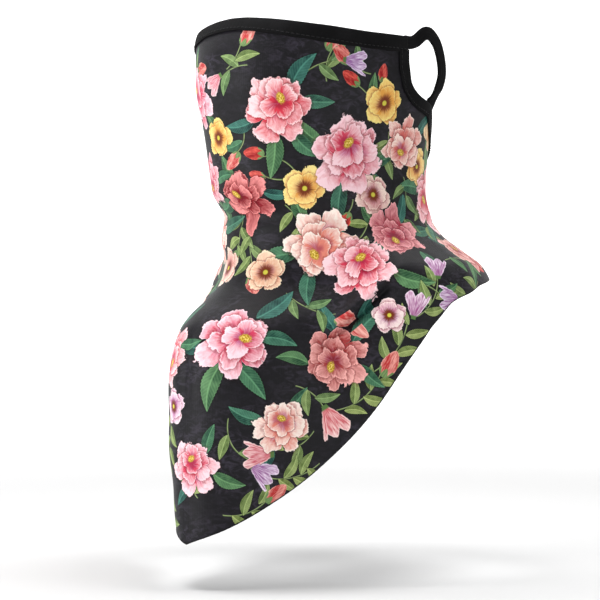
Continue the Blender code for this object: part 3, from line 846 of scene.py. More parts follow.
def coat(b, shader, colour, roughness, specular=None, height=None, strength=None, depth=None):
    """Feeds a shader's colour and gloss, and its bumps from a height."""
    b.feed(shader.inputs["Base Color"], colour)
    b.feed(shader.inputs["Roughness"], roughness)
    b.feed(shader.inputs["Specular IOR Level"], specular)
    if height is not None:
        node = b.put("ShaderNodeBump")
        b.feed(node.inputs["Strength"], strength)
        b.feed(node.inputs["Distance"], depth)
        b.feed(node.inputs["Height"], height)
        b.feed(shader.inputs["Normal"], node.outputs["Normal"])


def knit_and_ground(b, place, uv, dark, light):
    """The knit's height and the mottled colour that both faces of the cloth have."""
    knit = b.group(shared_group("stretch_knit", knit_group), Place=uv, Pitch=KNIT_PITCH)
    return knit, b.group(shared_group("mottled_ground", ground_group), Place=place, Dark=dark, Light=light)


def printed_cloth(colours):
    """Matt stretch knit with the floral print."""
    material, b, shader, place, uv = new_material("printed_stretch_cloth", "cloth")
    knit, colour = knit_and_ground(b, place, uv, opaque(colours.ground), opaque(colours.mottling))
    for kind in KINDS:
        motif = shared_group(kind.name, motif_group, kind.name, kind.draw)
        for layer in kind_layers(kind):
            spot = b.put("ShaderNodeAttribute", attribute_name=layer).outputs["Vector"]
            colour = b.group(motif, Spot=spot, Under=colour)
    coat(b, shader, colour, b.noise(place, 90.0, 3.0) * 0.12 + 0.48, 0.17, knit, 0.25, 0.0002)
    return material


def plain_cloth(colours):
    """The unprinted inside of the cloth."""
    material, b, shader, place, uv = new_material("inside_of_cloth", "cloth")
    knit, colour = knit_and_ground(b, place, uv, opaque(colours.inside), opaque(colours.inside, 1.35))
    coat(b, shader, colour, 0.85, None, knit, 0.35, 0.0002)
    shader.inputs["Sheen Weight"].default_value = 0.12
    return material


def black_tape(colours):
    """Matt black ribbed tape for the bindings and the ear loops."""
    material, b, shader, place, uv = new_material("black_tape", "tape")
    x, y, _ = b.split(uv)
    ribs = b.math("SINE", y * (2.0 * math.pi / 0.0007))
    threads = b.math("SINE", x * (2.0 * math.pi / 0.0009) + ribs * 0.8)
    height = threads * 0.4 + b.noise(place, 900.0, 2.0) * 0.8 + ribs
    wear = b.noise(place, 60.0, 3.0)
    colour = b.mix(b.ease(wear, 0.45, 0.75), opaque(colours.tape), opaque(colours.tape, 1.9))
    coat(b, shader, colour, wear * 0.15 + 0.72, 0.10, height, 0.3, 0.00015)
    return material


def thread_material(colours):
    """Black sewing thread."""
    material, b, shader, place, _ = new_material("black_thread")
    fuzz = b.noise(place, 2500.0, 2.0)
    colour = b.mix(fuzz, opaque(colours.thread), opaque(colours.thread, 1.8))
    coat(b, shader, colour, 0.6, 0.2, fuzz, 0.4, 0.0001)
    return material


# The kinds of motif, the lowest first: their layers, how far they may draw in their own size, and how
KINDS = table(
    "Kind", "name layers across along draw",
    ("stem", 2, None, None, draw_stem),
    ("leaf", 3, 0.55, 1.0, draw_leaf),
    ("bud", 1, 0.75, 1.0, draw_bud),
    ("bell", 1, 1.0, 1.0, draw_bell),
    ("blossom", 1, 1.02, 1.02, draw_blossom),
    ("bloom", 2, 1.10, 1.10, draw_bloom),
)


def kind_layers(kind):
    """The names of a kind's layers."""
    return [f"{kind.name}_{i}" for i in range(kind.layers)]


Motif = namedtuple("Motif", "kind layer centre across along normal size code")


class PrintLayout:
    """Gathers the motifs of the print, each on a layer where it covers no other."""

    def __init__(self):
        self.motifs = []
        self.count = Counter()

    def beside(self, turn, height, angle, forward, sideways=0.0):
        """The place a way forward over the cloth and a way to its side. Angle 0 is the wearer's left."""
        by_turn, by_height, _ = directions(turn, height)
        cos, sin = math.cos(math.radians(angle)), math.sin(math.radians(angle))
        right = (cos * forward - sin * sideways) / np.linalg.norm(by_turn)
        return turn + right, height + (sin * forward + cos * sideways) / np.linalg.norm(by_height)

    def add(self, kind, turn, height, angle, size, tone=0.5, bow=None):
        """A motif whose long way points at the angle. Its code is a seed and the tone, or a stem's bow."""
        centre = cloth_points(turn, height)
        by_turn, _, normal = directions(turn, height)
        right = unit(by_turn)
        a = math.radians(angle)
        along = right * math.cos(a) + np.cross(normal, right) * math.sin(a)
        layers = next(kind_layers(row) for row in KINDS if row.name == kind)
        crowding = []
        for layer in layers:
            others = [motif for motif in self.motifs if motif.layer == layer]
            near = [(size + other.size) / (np.linalg.norm(centre - other.centre) + 1e-6) for other in others]
            crowding.append(max(near, default=0.0))
        layer = layers[int(np.argmin(crowding))]
        code = self.count[kind] % 23 + 1 + min(max(tone, 0.01), 0.99)
        if bow is not None:
            code = bow * 1000.0
        self.count[kind] += 1
        self.motifs.append(Motif(kind, layer, centre, np.cross(along, normal), along, normal, size, code))

    def add_bloom(self, row, turn):
        for i in range(row.leaves):
            angle = row.leaf_start + i * (270.0 / row.leaves) + 9.0 * (i % 2)
            size = row.radius * (0.50 + 0.07 * ((i * 2) % 3))
            place = self.beside(turn, row.height, angle, row.radius * 0.86 + size * 0.62)
            tone = 0.06 + 0.16 * ((i * 3 + int(row.spin)) % 4)
            self.add("leaf", *place, angle + 12.0 * (i % 3 - 1), size, tone)
        self.add("bloom", turn, row.height, row.spin, row.radius, row.tone)

    def add_spray(self, row, turn):
        middle = self.beside(turn, row.height, row.angle, row.length / 2)
        self.add("stem", *middle, row.angle, row.length / 2, bow=row.bow)
        for i in range(row.leaves):
            share = (i + 0.8) / (row.leaves + 0.6)
            side = 1.0 if i % 2 else -1.0
            size = 0.0062 + 0.0022 * math.sin(math.pi * share)
            bow = row.bow * (1.0 - (2.0 * share - 1.0) ** 2)
            place = self.beside(
                turn, row.height, row.angle, row.length * share + 0.55 * size, bow + side * 0.75 * size
            )
            self.add("leaf", *place, row.angle + side * 48.0, size, row.tone - 0.08 * (i % 2))
        if row.tip:
            tilt = -math.degrees(math.atan2(4.0 * row.bow, row.length)) * 0.7
            place = self.beside(turn, row.height, row.angle, row.length + 0.75 * row.tip_size)
            self.add(row.tip, *place, row.angle + tilt, row.tip_size, row.tip_tone)


def laid_out_print():
    """All motifs: the rows of the tables, and once more half way round the tube."""
    layout = PrintLayout()
    for shift in (0.0, -180.0):
        for row in SPRAYS:
            layout.add_spray(row, row.turn + shift)
        for row in BLOOMS:
            layout.add_bloom(row, row.turn + shift)
        for row in BLOSSOMS:
            layout.add("blossom", row.turn + shift, row.height, row.spin, row.radius, row.tone)
    return layout.motifs


def lay_print(cloth):
    """Gives each outer face its place in the motif that covers it, on every layer of the print."""
    mesh = cloth.data
    centres = mesh_numbers(mesh.polygons, "center", 3)
    normals = mesh_numbers(mesh.polygons, "normal", 3)
    places, face_of = corner_places(mesh)
    reaches = {kind.name: (kind.across, kind.along) for kind in KINDS}
    layers = [layer for kind in KINDS for layer in kind_layers(kind)]
    best = {layer: np.full(len(centres), np.inf) for layer in layers}
    spots = {layer: np.full(places.shape, NOWHERE) for layer in layers}
    for motif in laid_out_print():
        is_stem = motif.kind == "stem"
        if is_stem:
            scale_across, scale_along = 1000.0, 1.0 / motif.size
            reach_across, reach_along = abs(motif.code) + 2.4, 1.02 + BLEED / motif.size
        else:
            scale_across = scale_along = 1.0 / motif.size
            reach_across, reach_along = (reach + BLEED / motif.size for reach in reaches[motif.kind])
        away = centres - motif.centre
        near = np.flatnonzero((np.abs(away @ motif.normal) < PRINT_REACH) & (normals @ motif.normal > 0.15))
        across = away[near] @ motif.across * scale_across / reach_across
        along = away[near] @ motif.along * scale_along / reach_along
        distance = np.maximum(np.abs(across), np.abs(along)) if is_stem else np.hypot(across, along)
        chosen = (distance < 1.0) & (distance < best[motif.layer][near])
        best[motif.layer][near[chosen]] = distance[chosen]
        taken = np.zeros(len(centres), bool)
        taken[near[chosen]] = True
        corner = taken[face_of]
        away = places[corner] - motif.centre
        x = away @ motif.across * scale_across
        y = away @ motif.along * scale_along
        if is_stem:
            x, y = y, -x
        spots[motif.layer][corner] = np.stack([x, y, np.full(len(x), motif.code)], -1)
    for layer in layers:
        attribute = mesh.attributes.new(layer, "FLOAT_VECTOR", "CORNER")
        attribute.data.foreach_set("vector", spots[layer].astype(np.float32).ravel())


def lay_cloth_map(cloth):
    """A UV map in metres: x round the neck, y up."""
    places, face_of = corner_places(cloth.data)
    turn = np.arctan2(places[:, 0], -(places[:, 1] + AXIS)) / (2.0 * math.pi)
    off = turn - turn[np.searchsorted(face_of, face_of)]
    turn = turn - (off > 0.5) + (off < -0.5)
    uv = np.stack([turn * FLAT_ROUND, places[:, 2]], -1)
    cloth.data.uv_layers.new(name="cloth").uv.foreach_set("vector", uv.astype(np.float32).ravel())


def length_setting(name, about, default, **limits):
    return bpy.props.FloatProperty(name=name, description=about, default=default, unit="LENGTH", **limits)


def count_setting(name, about, default):
    return bpy.props.IntProperty(name=name, description=about, default=default, min=40, max=400)


def colour_setting(name, about, default):
    return bpy.props.FloatVectorProperty(name=name, description=about, default=default, subtype="COLOR")


class MaskSizes(bpy.types.PropertyGroup):
    """Sizes of the cloth, the tapes and the loops."""

    cloth_wall: length_setting("Cloth", "Thickness of the cloth", 0.0010, min=0.0004, max=0.003)
    cloth_columns: count_setting("Columns", "Faces round the cloth", 232)
    cloth_rows: count_setting("Rows", "Faces down the cloth", 188)
    tape_wall: length_setting("Tape", "Thickness of one layer of the folded tape", 0.0008)
    nose_tape_width: length_setting("Nose tape", "How far the nose tape reaches in from the edge", 0.0085)
    nape_tape_width: length_setting("Nape tape", "How far the nape tape reaches in from the edge", 0.0065)
    strap_width: length_setting("Strap width", "Width of an ear loop", 0.0084)
    strap_wall: length_setting("Strap", "Thickness of an ear loop", 0.0020)
    stitch_length: length_setting("Stitch", "Length of a stitch with its gap", 0.0031)
    hem_bead: length_setting("Hem", "Radius of the rolled edge of the hem", 0.00062)


class MaskColours(bpy.types.PropertyGroup):
    """Colours of the print's ground, the inside, the tapes and the threads."""

    ground: colour_setting("Ground", "Dark ground of the print", (0.0075, 0.0070, 0.0090))
    mottling: colour_setting("Mottling", "Lighter clouds of the ground", (0.034, 0.029, 0.042))
    inside: colour_setting("Inside", "Unprinted inside of the cloth", (0.060, 0.058, 0.064))
    tape: colour_setting("Tape", "Black tape and loops", (0.0035, 0.0034, 0.0038))
    thread: colour_setting("Thread", "Black sewing thread", (0.0050, 0.0050, 0.0055))


class StageSettings(bpy.types.PropertyGroup):
    """The floor, the light and the camera."""

    floor_height: length_setting("Floor", "Height of the floor", -0.335)
    floor_colour: colour_setting("Floor colour", "Pale floor and backdrop", (0.70, 0.70, 0.70))
    lens: bpy.props.FloatProperty(name="Lens", description="Focal length", default=110.74, unit="CAMERA")


def column_turns(columns):
    """Turns of the cloth's columns, closer together in front, where the cloth is long, than behind."""
    even = np.linspace(-1.0, 1.0, columns + 1)[:-1]
    return 180.0 * (0.72 * even + 0.28 * even**3)


def cut_out_shape():
    """A solid whose outline from the side is what the ears and the nape leave open."""
    edge = cloth_points(*np.concatenate([ear_stations(24)[:-1], edge_stations(NAPE_EDGE, 40)]).T)
    top = SECTIONS[0].height
    behind = edge[-1][1] + BACK_REACH
    points = [(0.0, edge[0][1], top), *((0.0, y, z) for _, y, z in edge)]
    points += [(0.0, behind, edge[-1][2]), (0.0, behind, top)]
    cutter = mesh_object("cut_out_shape", points, [tuple(range(len(points)))])
    depth = cutter.modifiers.new("Depth", "SOLIDIFY")
    depth.thickness = 2.0 * FACE_WIDTH
    depth.offset = 0.0
    apply_modifiers(cutter)
    return cutter


class MASK_OT_cloth(bpy.types.Operator):
    """Build the printed cloth in its worn shape"""

    bl_idname = "mask.cloth"
    bl_label = "Cloth"

    def execute(self, context):
        sizes = context.scene.mask_sizes
        turns = column_turns(sizes.cloth_columns)
        top = edge_heights(NOSE_EDGE, np.minimum(np.abs(turns), EAR_TURN))
        bottom = edge_heights(HEM, np.abs(turns))
        shares = np.linspace(0.0, 1.0, sizes.cloth_rows + 1)[:, None]
        points = cloth_points(turns, top + (bottom - top) * shares).reshape(-1, 3)
        faces = grid_faces(sizes.cloth_rows + 1, sizes.cloth_columns, closed_columns=True)
        cloth = mesh_object("cloth", points, faces)
        wall = cloth.modifiers.new("Wall", "SOLIDIFY")
        wall.thickness = sizes.cloth_wall
        wall.offset = 0.0
        wall.use_even_offset = True
        wall.material_offset = 1
        cloth.data.materials.append(printed_cloth(context.scene.mask_colours))
        cloth.data.materials.append(plain_cloth(context.scene.mask_colours))
        cutter = cut_out_shape()
        cut = cloth.modifiers.new("Ear cut-outs and nape", "BOOLEAN")
        cut.operation = "DIFFERENCE"
        cut.object = cutter
        apply_modifiers(cloth)
        bpy.data.objects.remove(cutter)
        cloth.data.shade_smooth()
        lay_print(cloth)
        lay_cloth_map(cloth)
        place_in_frame(cloth, "mask_cloth", "mask_cloth")
        flat_area()
        return {"FINISHED"}


def flat_area():
    """Area of the cloth from the tables, in square metres."""
    turns = np.linspace(-180.0, 180.0, 181)
    off = np.abs(turns)
    nose = edge_heights(NOSE_EDGE, np.minimum(off, EAR_TURN))
    nape = edge_heights(NAPE_EDGE, np.clip(off, EAR_FOOT_TURN, 180.0))
    ear = np.where(off > EAR_TURN, -0.5 * EAR_DROP, 0.0)
    top = np.where(off < EAR_TURN, nose, np.where(off < EAR_FOOT_TURN, ear, nape))
    bottom = edge_heights(HEM, off)
    grid = cloth_points(turns, top + (bottom - top) * np.linspace(0.0, 1.0, 61)[:, None])
    across = grid[:-1, 1:] - grid[:-1, :-1]
    down = grid[1:, :-1] - grid[:-1, :-1]
    return float(np.linalg.norm(np.cross(across, down), axis=-1).sum())


def edge_frames(stations):
    """Arrays of places along an edge with the ways along it, into the cloth and out of it."""
    points = cloth_points(*stations.T)
    by_turn, by_height, normal = directions(*stations.T)
    along = np.gradient(points, axis=0)
    along = unit(along - normal * np.sum(along * normal, -1, keepdims=True))
    return points, along, np.cross(along, normal), by_turn, by_height, normal


def beside_edge(stations, frames, inwards, outwards):
    """Points a way in from the edge, over the cloth, and a way out from the middle of its wall."""
    _, _, inward, by_turn, by_height, _ = frames
    count = len(stations)
    inwards, outwards = (np.broadcast_to(way, count)[:, None] for way in (inwards, outwards))
    a = np.sum(by_turn * by_turn, -1)
    b = np.sum(by_turn * by_height, -1)
    c = np.sum(by_height * by_height, -1)
    p = np.sum(inward * inwards * by_turn, -1)
    q = np.sum(inward * inwards * by_height, -1)
    det = a * c - b * b
    turn = stations[:, 0] + (p * c - q * b) / det
    height = stations[:, 1] + (q * a - p * b) / det
    return cloth_points(turn, height) + directions(turn, height)[2] * outwards


def tape_profile(width, wall, tape):
    """The closed outline of the folded tape: ways in from the edge and out from the cloth's middle."""
    face = wall / 2 + CLEARANCE
    out = face + tape
    steps = np.linspace(1.0, 0.0, 6)
    outer = [(share * width, out) for share in steps]
    angles = np.linspace(0.25, math.pi - 0.25, 7)
    turn = [(-FOLD_ROOM - tape * 0.75 * math.sin(a), out * math.cos(a)) for a in angles]
    inner = [(share * width, -out) for share in reversed(steps)]
    rim = width + 0.25 * tape
    lip = [(rim, -out + 0.3 * tape), (rim, -face - 0.25 * tape), (width, -face)]
    under = [(share * width, -face) for share in steps[1:]]
    fold = [(-0.8 * FOLD_ROOM, -0.45 * face), (-0.8 * FOLD_ROOM, 0.45 * face)]
    over = [(share * width, face) for share in reversed(steps)]
    end = [(rim, face + 0.25 * tape), (rim, out - 0.3 * tape)]
    return outer + turn + inner + lip + under + fold + over + end


def capped_tube(name, rows, around, run, material):
    """A closed tube through rings of points, with a UV map in metres: x along, y round."""
    rows = np.asarray(rows)
    count, sides = rows.shape[:2]
    faces = grid_faces(count, sides, closed_columns=True)
    faces.append(tuple(range(sides)))
    faces.append(tuple(reversed(range((count - 1) * sides, count * sides))))
    tube = mesh_object(name, rows.reshape(-1, 3), faces)
    uv = np.zeros((len(tube.data.loops), 2), np.float32)
    around = np.append(around, around[-1] + around[1])
    for polygon in tube.data.polygons:
        if len(polygon.vertices) > 4:
            continue
        wraps = {v % sides for v in polygon.vertices} >= {0, sides - 1}
        for corner, v in zip(polygon.loop_indices, polygon.vertices):
            k = v % sides
            uv[corner] = (run[v // sides], around[sides if wraps and k == 0 else k])
    tube.data.uv_layers.new(name="tape").uv.foreach_set("vector", uv.ravel())
    finish_mesh(tube, material)
    return tube


def binding(name, stations, width, sizes, material):
    """Tape folded over the cloth's edge, slightly drawn in where it is stitched."""
    frames = edge_frames(stations)
    run = run_lengths(frames[0])
    profile = tape_profile(width, sizes.cloth_wall, sizes.tape_wall)
    pucker = np.sin(2.0 * math.pi * run / sizes.stitch_length)
    waver = np.sin(run * 170.0) + 0.7 * np.sin(run * 410.0 + 1.0)
    rings = []
    for inwards, outwards in profile:
        far_in = max(inwards, 0.0) / width
        puff = 0.00007 * pucker * math.sin(math.pi * min(far_in, 1.0))
        if abs(outwards) > sizes.cloth_wall:
            outwards = outwards + np.sign(outwards) * puff
        rings.append(beside_edge(stations, frames, inwards + 0.00016 * waver * far_in, outwards))
    return capped_tube(name, np.stack(rings, 1), run_lengths(np.array(profile)), run, material)


STITCH_SIDES = 6
STITCH_THICK = 0.00024
STITCH_THIN = 0.00017
STITCH_RISE = 0.00030
STITCH_SHARES = (-0.55, 0.2, 0.55, 0.55, 0.2, -0.55)


def stitches(name, stations, sizes, rows, material):
    """Runs of stitches along an edge, each a short thread that dips in at both ends."""
    frames = edge_frames(stations)
    points = []
    faces = []
    surface = sizes.cloth_wall / 2 + CLEARANCE + sizes.tape_wall
    rings = len(STITCH_SHARES)
    thread_faces = grid_faces(rings, STITCH_SIDES, closed_columns=True)
    rise = np.array(STITCH_SHARES) * STITCH_RISE
    for inwards, side in rows:
        line = beside_edge(stations, frames, inwards, side * surface)
        normal = frames[5] * side
        run = run_lengths(line)
        for i in range(int(run[-1] / sizes.stitch_length)):
            at = (i + 0.2 + np.linspace(0.0, 0.72, rings)) * sizes.stitch_length
            way = np.stack([np.interp(at, run, column) for column in line.T], -1)
            out = unit(np.stack([np.interp(at, run, column) for column in normal.T], -1))
            way = way + out * rise[:, None]
            along = unit(np.gradient(way, axis=0))
            across = unit(np.cross(along, out))
            up = np.cross(across, along)
            first = len(points)
            for j in range(rings):
                thickness = STITCH_THIN if j in (0, rings - 1) else STITCH_THICK
                for k in range(STITCH_SIDES):
                    a = 2.0 * math.pi * k / STITCH_SIDES
                    points.append(way[j] + (across[j] * math.cos(a) + up[j] * math.sin(a)) * thickness)
            faces += [tuple(first + v for v in face) for face in thread_faces]
            faces.append(tuple(range(first, first + STITCH_SIDES)))
            faces.append(tuple(reversed(range(len(points) - STITCH_SIDES, len(points)))))
    threads = mesh_object(name, points, faces)
    finish_mesh(threads, material)
    return threads


def mirrored(stations, whole_turn=0.0):
    """The same stations on the other side, in the other order."""
    return stations[::-1] * np.array([-1.0, 1.0]) + np.array([whole_turn, 0.0])


def nose_line(step):
    left = edge_stations(NOSE_EDGE, 60)
    return even_steps(np.concatenate([mirrored(left)[:-1], left]), step)


def nape_line(step, width):
    """The edge under the nose tape's end, down the ear, round the nape and up the other ear."""
    below = NOSE_EDGE[-1].height - 0.8 * width
    ear = ear_stations(60)
    start = np.interp(-below, -ear[:, 1], np.arange(61))
    ear = np.concatenate([[[np.interp(start, np.arange(61), ear[:, 0]), below]], ear[int(start) + 1 :]])
    left = np.concatenate([ear[:-1], edge_stations(NAPE_EDGE, 60)])
    return even_steps(np.concatenate([left, mirrored(left, 360.0)[1:]]), step)


class MASK_OT_bindings(bpy.types.Operator):
    """Build both tapes folded over the edges, and their stitches"""

    bl_idname = "mask.bindings"
    bl_label = "Bindings"

    def execute(self, context):
        sizes = context.scene.mask_sizes
        material = black_tape(context.scene.mask_colours)
        thread = thread_material(context.scene.mask_colours)
        step = 0.0011
        for part, line, width in (
            ("nose", nose_line(step), sizes.nose_tape_width),
            ("nape", nape_line(step, sizes.nose_tape_width), sizes.nape_tape_width),
        ):
            tape = binding(part + "_tape", line, width, sizes, material)
            place_in_frame(tape, part + "_binding", part + "_binding")
            rows = [(0.78 * width, 1.0), (0.78 * width, -1.0)]
            sewn = stitches(part + "_tape_stitches", line, sizes, rows, thread)
            place_in_frame(sewn, part + "_binding")
        return {"FINISHED"}


def smooth_path(points, start, end, steps):
    """Points along a smooth curve through the given ones, which leaves and arrives as asked."""
    tangents = [start * np.linalg.norm(points[1] - points[0])]
    tangents += [(after - before) / 2 for before, after in zip(points, points[2:])]
    tangents += [end * np.linalg.norm(points[-1] - points[-2])]
    path = []
    for place in np.linspace(0.0, len(points) - 1, steps + 1):
        k = min(int(place), len(points) - 2)
        path.append(hermite(place - k, points[k], points[k + 1], tangents[k], tangents[k + 1]))
    return np.array(path)


def ear_loop(name, hand, sizes, material):
    """A soft strap from the nose tape's end, round the back of the ear, into the nape tape."""
    nose_stations = edge_stations(NOSE_EDGE, 16)
    nose = edge_frames(nose_stations)
    foot = edge_frames(np.concatenate([ear_stations(10)[-2:-1], edge_stations(NAPE_EDGE, 12)[:2]]))
    leaving, arriving = nose[1][-1], foot[2][1]
    start = beside_edge(nose_stations, nose, 0.5 * sizes.nose_tape_width, 0.0)[-1] + leaving * (2 * CLEARANCE)
    end = foot[0][1] - arriving * (FOLD_ROOM + sizes.tape_wall + LANDING_GAP)
    out = start[0] + LOOP_SPREAD
    drop = LOOP_RISE - end[2]
    route = [
        start,
        np.array([out, 0.0, LOOP_RISE]),
        np.array([out, 0.50 * LOOP_REACH, LOOP_RISE - 0.07 * drop]),
        np.array([out, 0.80 * LOOP_REACH, LOOP_RISE - 0.27 * drop]),
        np.array([out - 0.3 * LOOP_SPREAD, 0.99 * LOOP_REACH, LOOP_RISE - 0.56 * drop]),
        np.array([0.6 * out + 0.4 * end[0], 0.96 * LOOP_REACH, LOOP_RISE - 0.80 * drop]),
        end,
    ]
    path = smooth_path(route, leaving, arriving, 96)
    path = np.concatenate([[start - leaving * NOSE_TUCK], path, [end + arriving * NAPE_TUCK]])
    along = unit(np.gradient(path, axis=0))
    shares = np.linspace(0.0, 1.0, len(path))[:, None]
    outward = unit(nose[5][-1] * (1.0 - 0.5 * shares) + foot[5][1] * 0.5 * shares)
    across = unit(np.cross(along, outward))
    outward = unit(np.cross(across, along))
    run = run_lengths(path)
    near = np.clip((run - NOSE_TUCK) / LOOP_BLEND, 0.0, 1.0)
    near = 1.0 - near * near * (3.0 - 2.0 * near)
    tape_depth = sizes.cloth_wall / 2 + CLEARANCE + sizes.tape_wall - 0.00015
    half = sizes.strap_width / 2 + (sizes.nose_tape_width / 2 - sizes.strap_width / 2) * near
    thick = sizes.strap_wall / 2 + (tape_depth - sizes.strap_wall / 2) * near
    path = path + np.array([0.0, 0.0, 1.0]) * (1.15 * (FOLD_ROOM + sizes.tape_wall) * near)[:, None]
    sides = 28
    rings = []
    for a in np.arange(sides) * (2.0 * math.pi / sides):
        u = math.copysign(abs(math.cos(a)) ** 0.55, math.cos(a))
        v = math.copysign(abs(math.sin(a)) ** 0.70, math.sin(a))
        groove = 1.0 - 0.10 * math.exp(-((u / 0.22) ** 2))
        rings.append(path + across * (half * u)[:, None] + outward * (thick * v * groove)[:, None])
    rows = np.stack(rings, 1) * np.array([hand, 1.0, 1.0])
    return capped_tube(name, rows, np.arange(sides) * (STRAP_ROUND / sides), run, material)


class MASK_OT_ear_loops(bpy.types.Operator):
    """Build the two ear loops"""

    bl_idname = "mask.ear_loops"
    bl_label = "Ear loops"

    def execute(self, context):
        material = bpy.data.materials.get("black_tape")
        if material is None:
            raise RuntimeError("the bindings are built before the ear loops, because they share a tape")
        for side, hand in (("left", 1.0), ("right", -1.0)):
            loop = ear_loop("ear_strap_" + side, hand, context.scene.mask_sizes, material)
            place_in_frame(loop, "ear_loop_" + side, "ear_loop_" + side)
        return {"FINISHED"}


class MASK_OT_hem(bpy.types.Operator):
    """Build the rolled edge of the hem"""

    bl_idname = "mask.hem"
    bl_label = "Hem"

    def execute(self, context):
        sizes = context.scene.mask_sizes
        step, sides = 0.0016, 8
        turns = np.linspace(-180.0, 180.0, 1081)
        stations = even_steps(np.stack([turns, edge_heights(HEM, np.abs(turns))], -1), step)[:-1]
        frames = edge_frames(np.concatenate([stations, stations[:1]]))
        points, along, normal = (frames[k][:-1] for k in (0, 1, 5))
        down = unit(np.cross(normal, along))
        radius = (sizes.hem_bead * (1.0 + 0.05 * np.sin(np.arange(len(points)) * step * 1400.0)))[:, None]
        rings = []
        for a in np.arange(sides) * (2.0 * math.pi / sides):
            rings.append(points + normal * (radius * math.cos(a)) + down * (radius * 0.9 * math.sin(a)))
        rows = np.stack(rings, 1).reshape(-1, 3)
        hem = mesh_object("hem_edge", rows, grid_faces(len(points), sides, True, True))
        finish_mesh(hem, bpy.data.materials["black_thread"])
        place_in_frame(hem, "mask_cloth")
        return {"FINISHED"}


def aimed(thing, place, target):
    """Puts a light or the camera at a place, facing a target."""
    thing.location = place
    thing.rotation_euler = (Vector(target) - Vector(place)).to_track_quat("-Z", "Y").to_euler()
    bpy.context.scene.collection.objects.link(thing)


# Square or oblong area lights, placed and aimed in metres, with their power in watts
LIGHTS = table(
    "Light", "name place target size power",
    ("overhead_left", (0.27, 0.24, 1.05), (0.0, -0.03, -0.3), (0.45, 0.45), 9.5),
    ("overhead", (0.0, -0.03, 1.05), (0.0, -0.03, -0.3), (0.45, 0.45), 2.0),
    ("overhead_right", (-0.27, -0.30, 1.05), (0.0, -0.03, -0.3), (0.45, 0.45), 9.5),
    ("key", (-0.40, -1.85, 0.12), (0.0, 0.0, -0.13), (0.5, 0.5), 25.0),
    ("fill", (1.95, -0.10, -0.05), (0.0, 0.0, -0.13), (0.8, 0.5), 7.5),
)
CAMERA_TARGET = (-0.0182, -0.0182, -0.1618)
CAMERA_DISTANCE = 1.2
WHITE = (1.0, 1.0, 1.0, 1.0)
BLACK = (0.0, 0.0, 0.0, 1.0)


def backdrop(settings, ahead):
    """Pale paper: a floor that curves up behind the mask, and shines from half a metre out."""
    left = np.array([-ahead[1], ahead[0], 0.0])
    profile = [(3.0, 0.0), (-0.9, 0.0)]
    for a in np.linspace(0.1, math.pi / 2, 12):
        profile.append((-0.9 - 0.8 * math.sin(a), 0.8 - 0.8 * math.cos(a)))
    profile += [(-1.7, 3.5)]
    foot = np.array([*CAMERA_TARGET[:2], settings.floor_height])
    points = [
        foot + ahead * forward + left * side + np.array([0.0, 0.0, up])
        for forward, up in profile for side in (-4.0, 4.0)
    ]
    paper = mesh_object("backdrop", points, grid_faces(len(profile), 2))
    paper.data.shade_smooth()
    material, b, shader, place, _ = new_material("pale_paper")
    coat(b, shader, opaque(settings.floor_colour), 0.9, 0.1)
    far = b.ease(b.length(b.vector("MULTIPLY", place, (1.0, 1.0, 0.0))), 0.5, 1.5)
    b.feed(shader.inputs["Emission Color"], b.mix(far, BLACK, WHITE))
    shader.inputs["Emission Strength"].default_value = 0.85
    paper.data.materials.append(material)
    return paper


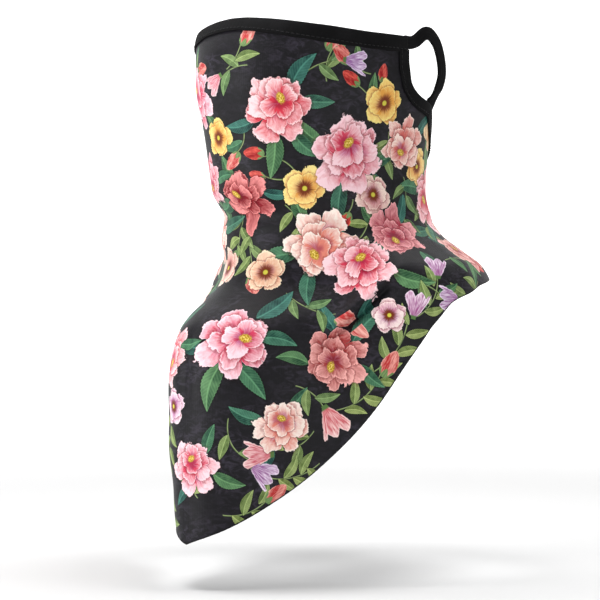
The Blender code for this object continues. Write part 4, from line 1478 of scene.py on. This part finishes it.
class MASK_OT_stage(bpy.types.Operator):
    """Set up the floor, the light and the camera"""

    bl_idname = "mask.stage"
    bl_label = "Stage"

    def execute(self, context):
        settings = context.scene.mask_stage
        ahead = np.array([math.sqrt(0.5), -math.sqrt(0.5), 0.0])
        backdrop(settings, ahead)
        world = bpy.data.worlds.new("soft_studio")
        world.use_nodes = True
        background = world.node_tree.nodes["Background"]
        background.inputs["Color"].default_value = WHITE
        b = Board(world.node_tree)
        seen = b.put("ShaderNodeLightPath").outputs["Is Camera Ray"]
        b.feed(background.inputs["Strength"], b.math("MULTIPLY_ADD", seen, 0.9, 0.12))
        context.scene.world = world
        for row in LIGHTS:
            data = bpy.data.lights.new(row.name, "AREA")
            data.shape = "RECTANGLE"
            data.size, data.size_y = row.size
            data.energy = row.power
            aimed(bpy.data.objects.new(row.name, data), row.place, row.target)
        camera = bpy.data.objects.new("camera", bpy.data.cameras.new("camera"))
        camera.data.lens = settings.lens
        camera.data.sensor_width = 36.0
        aimed(camera, np.array(CAMERA_TARGET) + ahead * CAMERA_DISTANCE, CAMERA_TARGET)
        context.scene.camera = camera
        context.scene.view_settings.view_transform = "Standard"
        return {"FINISHED"}


class MASK_PT_panel(bpy.types.Panel):
    """Buttons for each step and the sizes and colours"""

    bl_idname = "MASK_PT_panel"
    bl_label = "Face mask"
    bl_space_type = "VIEW_3D"
    bl_region_type = "UI"
    bl_category = "Face mask"

    def draw(self, context):
        for group in (context.scene.mask_sizes, context.scene.mask_colours, context.scene.mask_stage):
            box = self.layout.box()
            for name in group.__annotations__:
                box.prop(group, name)
        for operator in STEPS:
            self.layout.operator(operator.bl_idname)


STEPS = (MASK_OT_cloth, MASK_OT_bindings, MASK_OT_ear_loops, MASK_OT_hem, MASK_OT_stage)
GROUPS = (("mask_sizes", MaskSizes), ("mask_colours", MaskColours), ("mask_stage", StageSettings))


def register():
    for name, group in GROUPS:
        bpy.utils.register_class(group)
        setattr(bpy.types.Scene, name, bpy.props.PointerProperty(type=group))
    for operator in STEPS:
        bpy.utils.register_class(operator)
    bpy.utils.register_class(MASK_PT_panel)


def unregister():
    bpy.utils.unregister_class(MASK_PT_panel)
    for operator in reversed(STEPS):
        bpy.utils.unregister_class(operator)
    for name, group in reversed(GROUPS):
        delattr(bpy.types.Scene, name)
        bpy.utils.unregister_class(group)


def main():
    register()
    bpy.ops.mask.cloth()
    bpy.ops.mask.bindings()
    bpy.ops.mask.ear_loops()
    bpy.ops.mask.hem()
    bpy.ops.mask.stage()


if __name__ == "__main__":
    main()
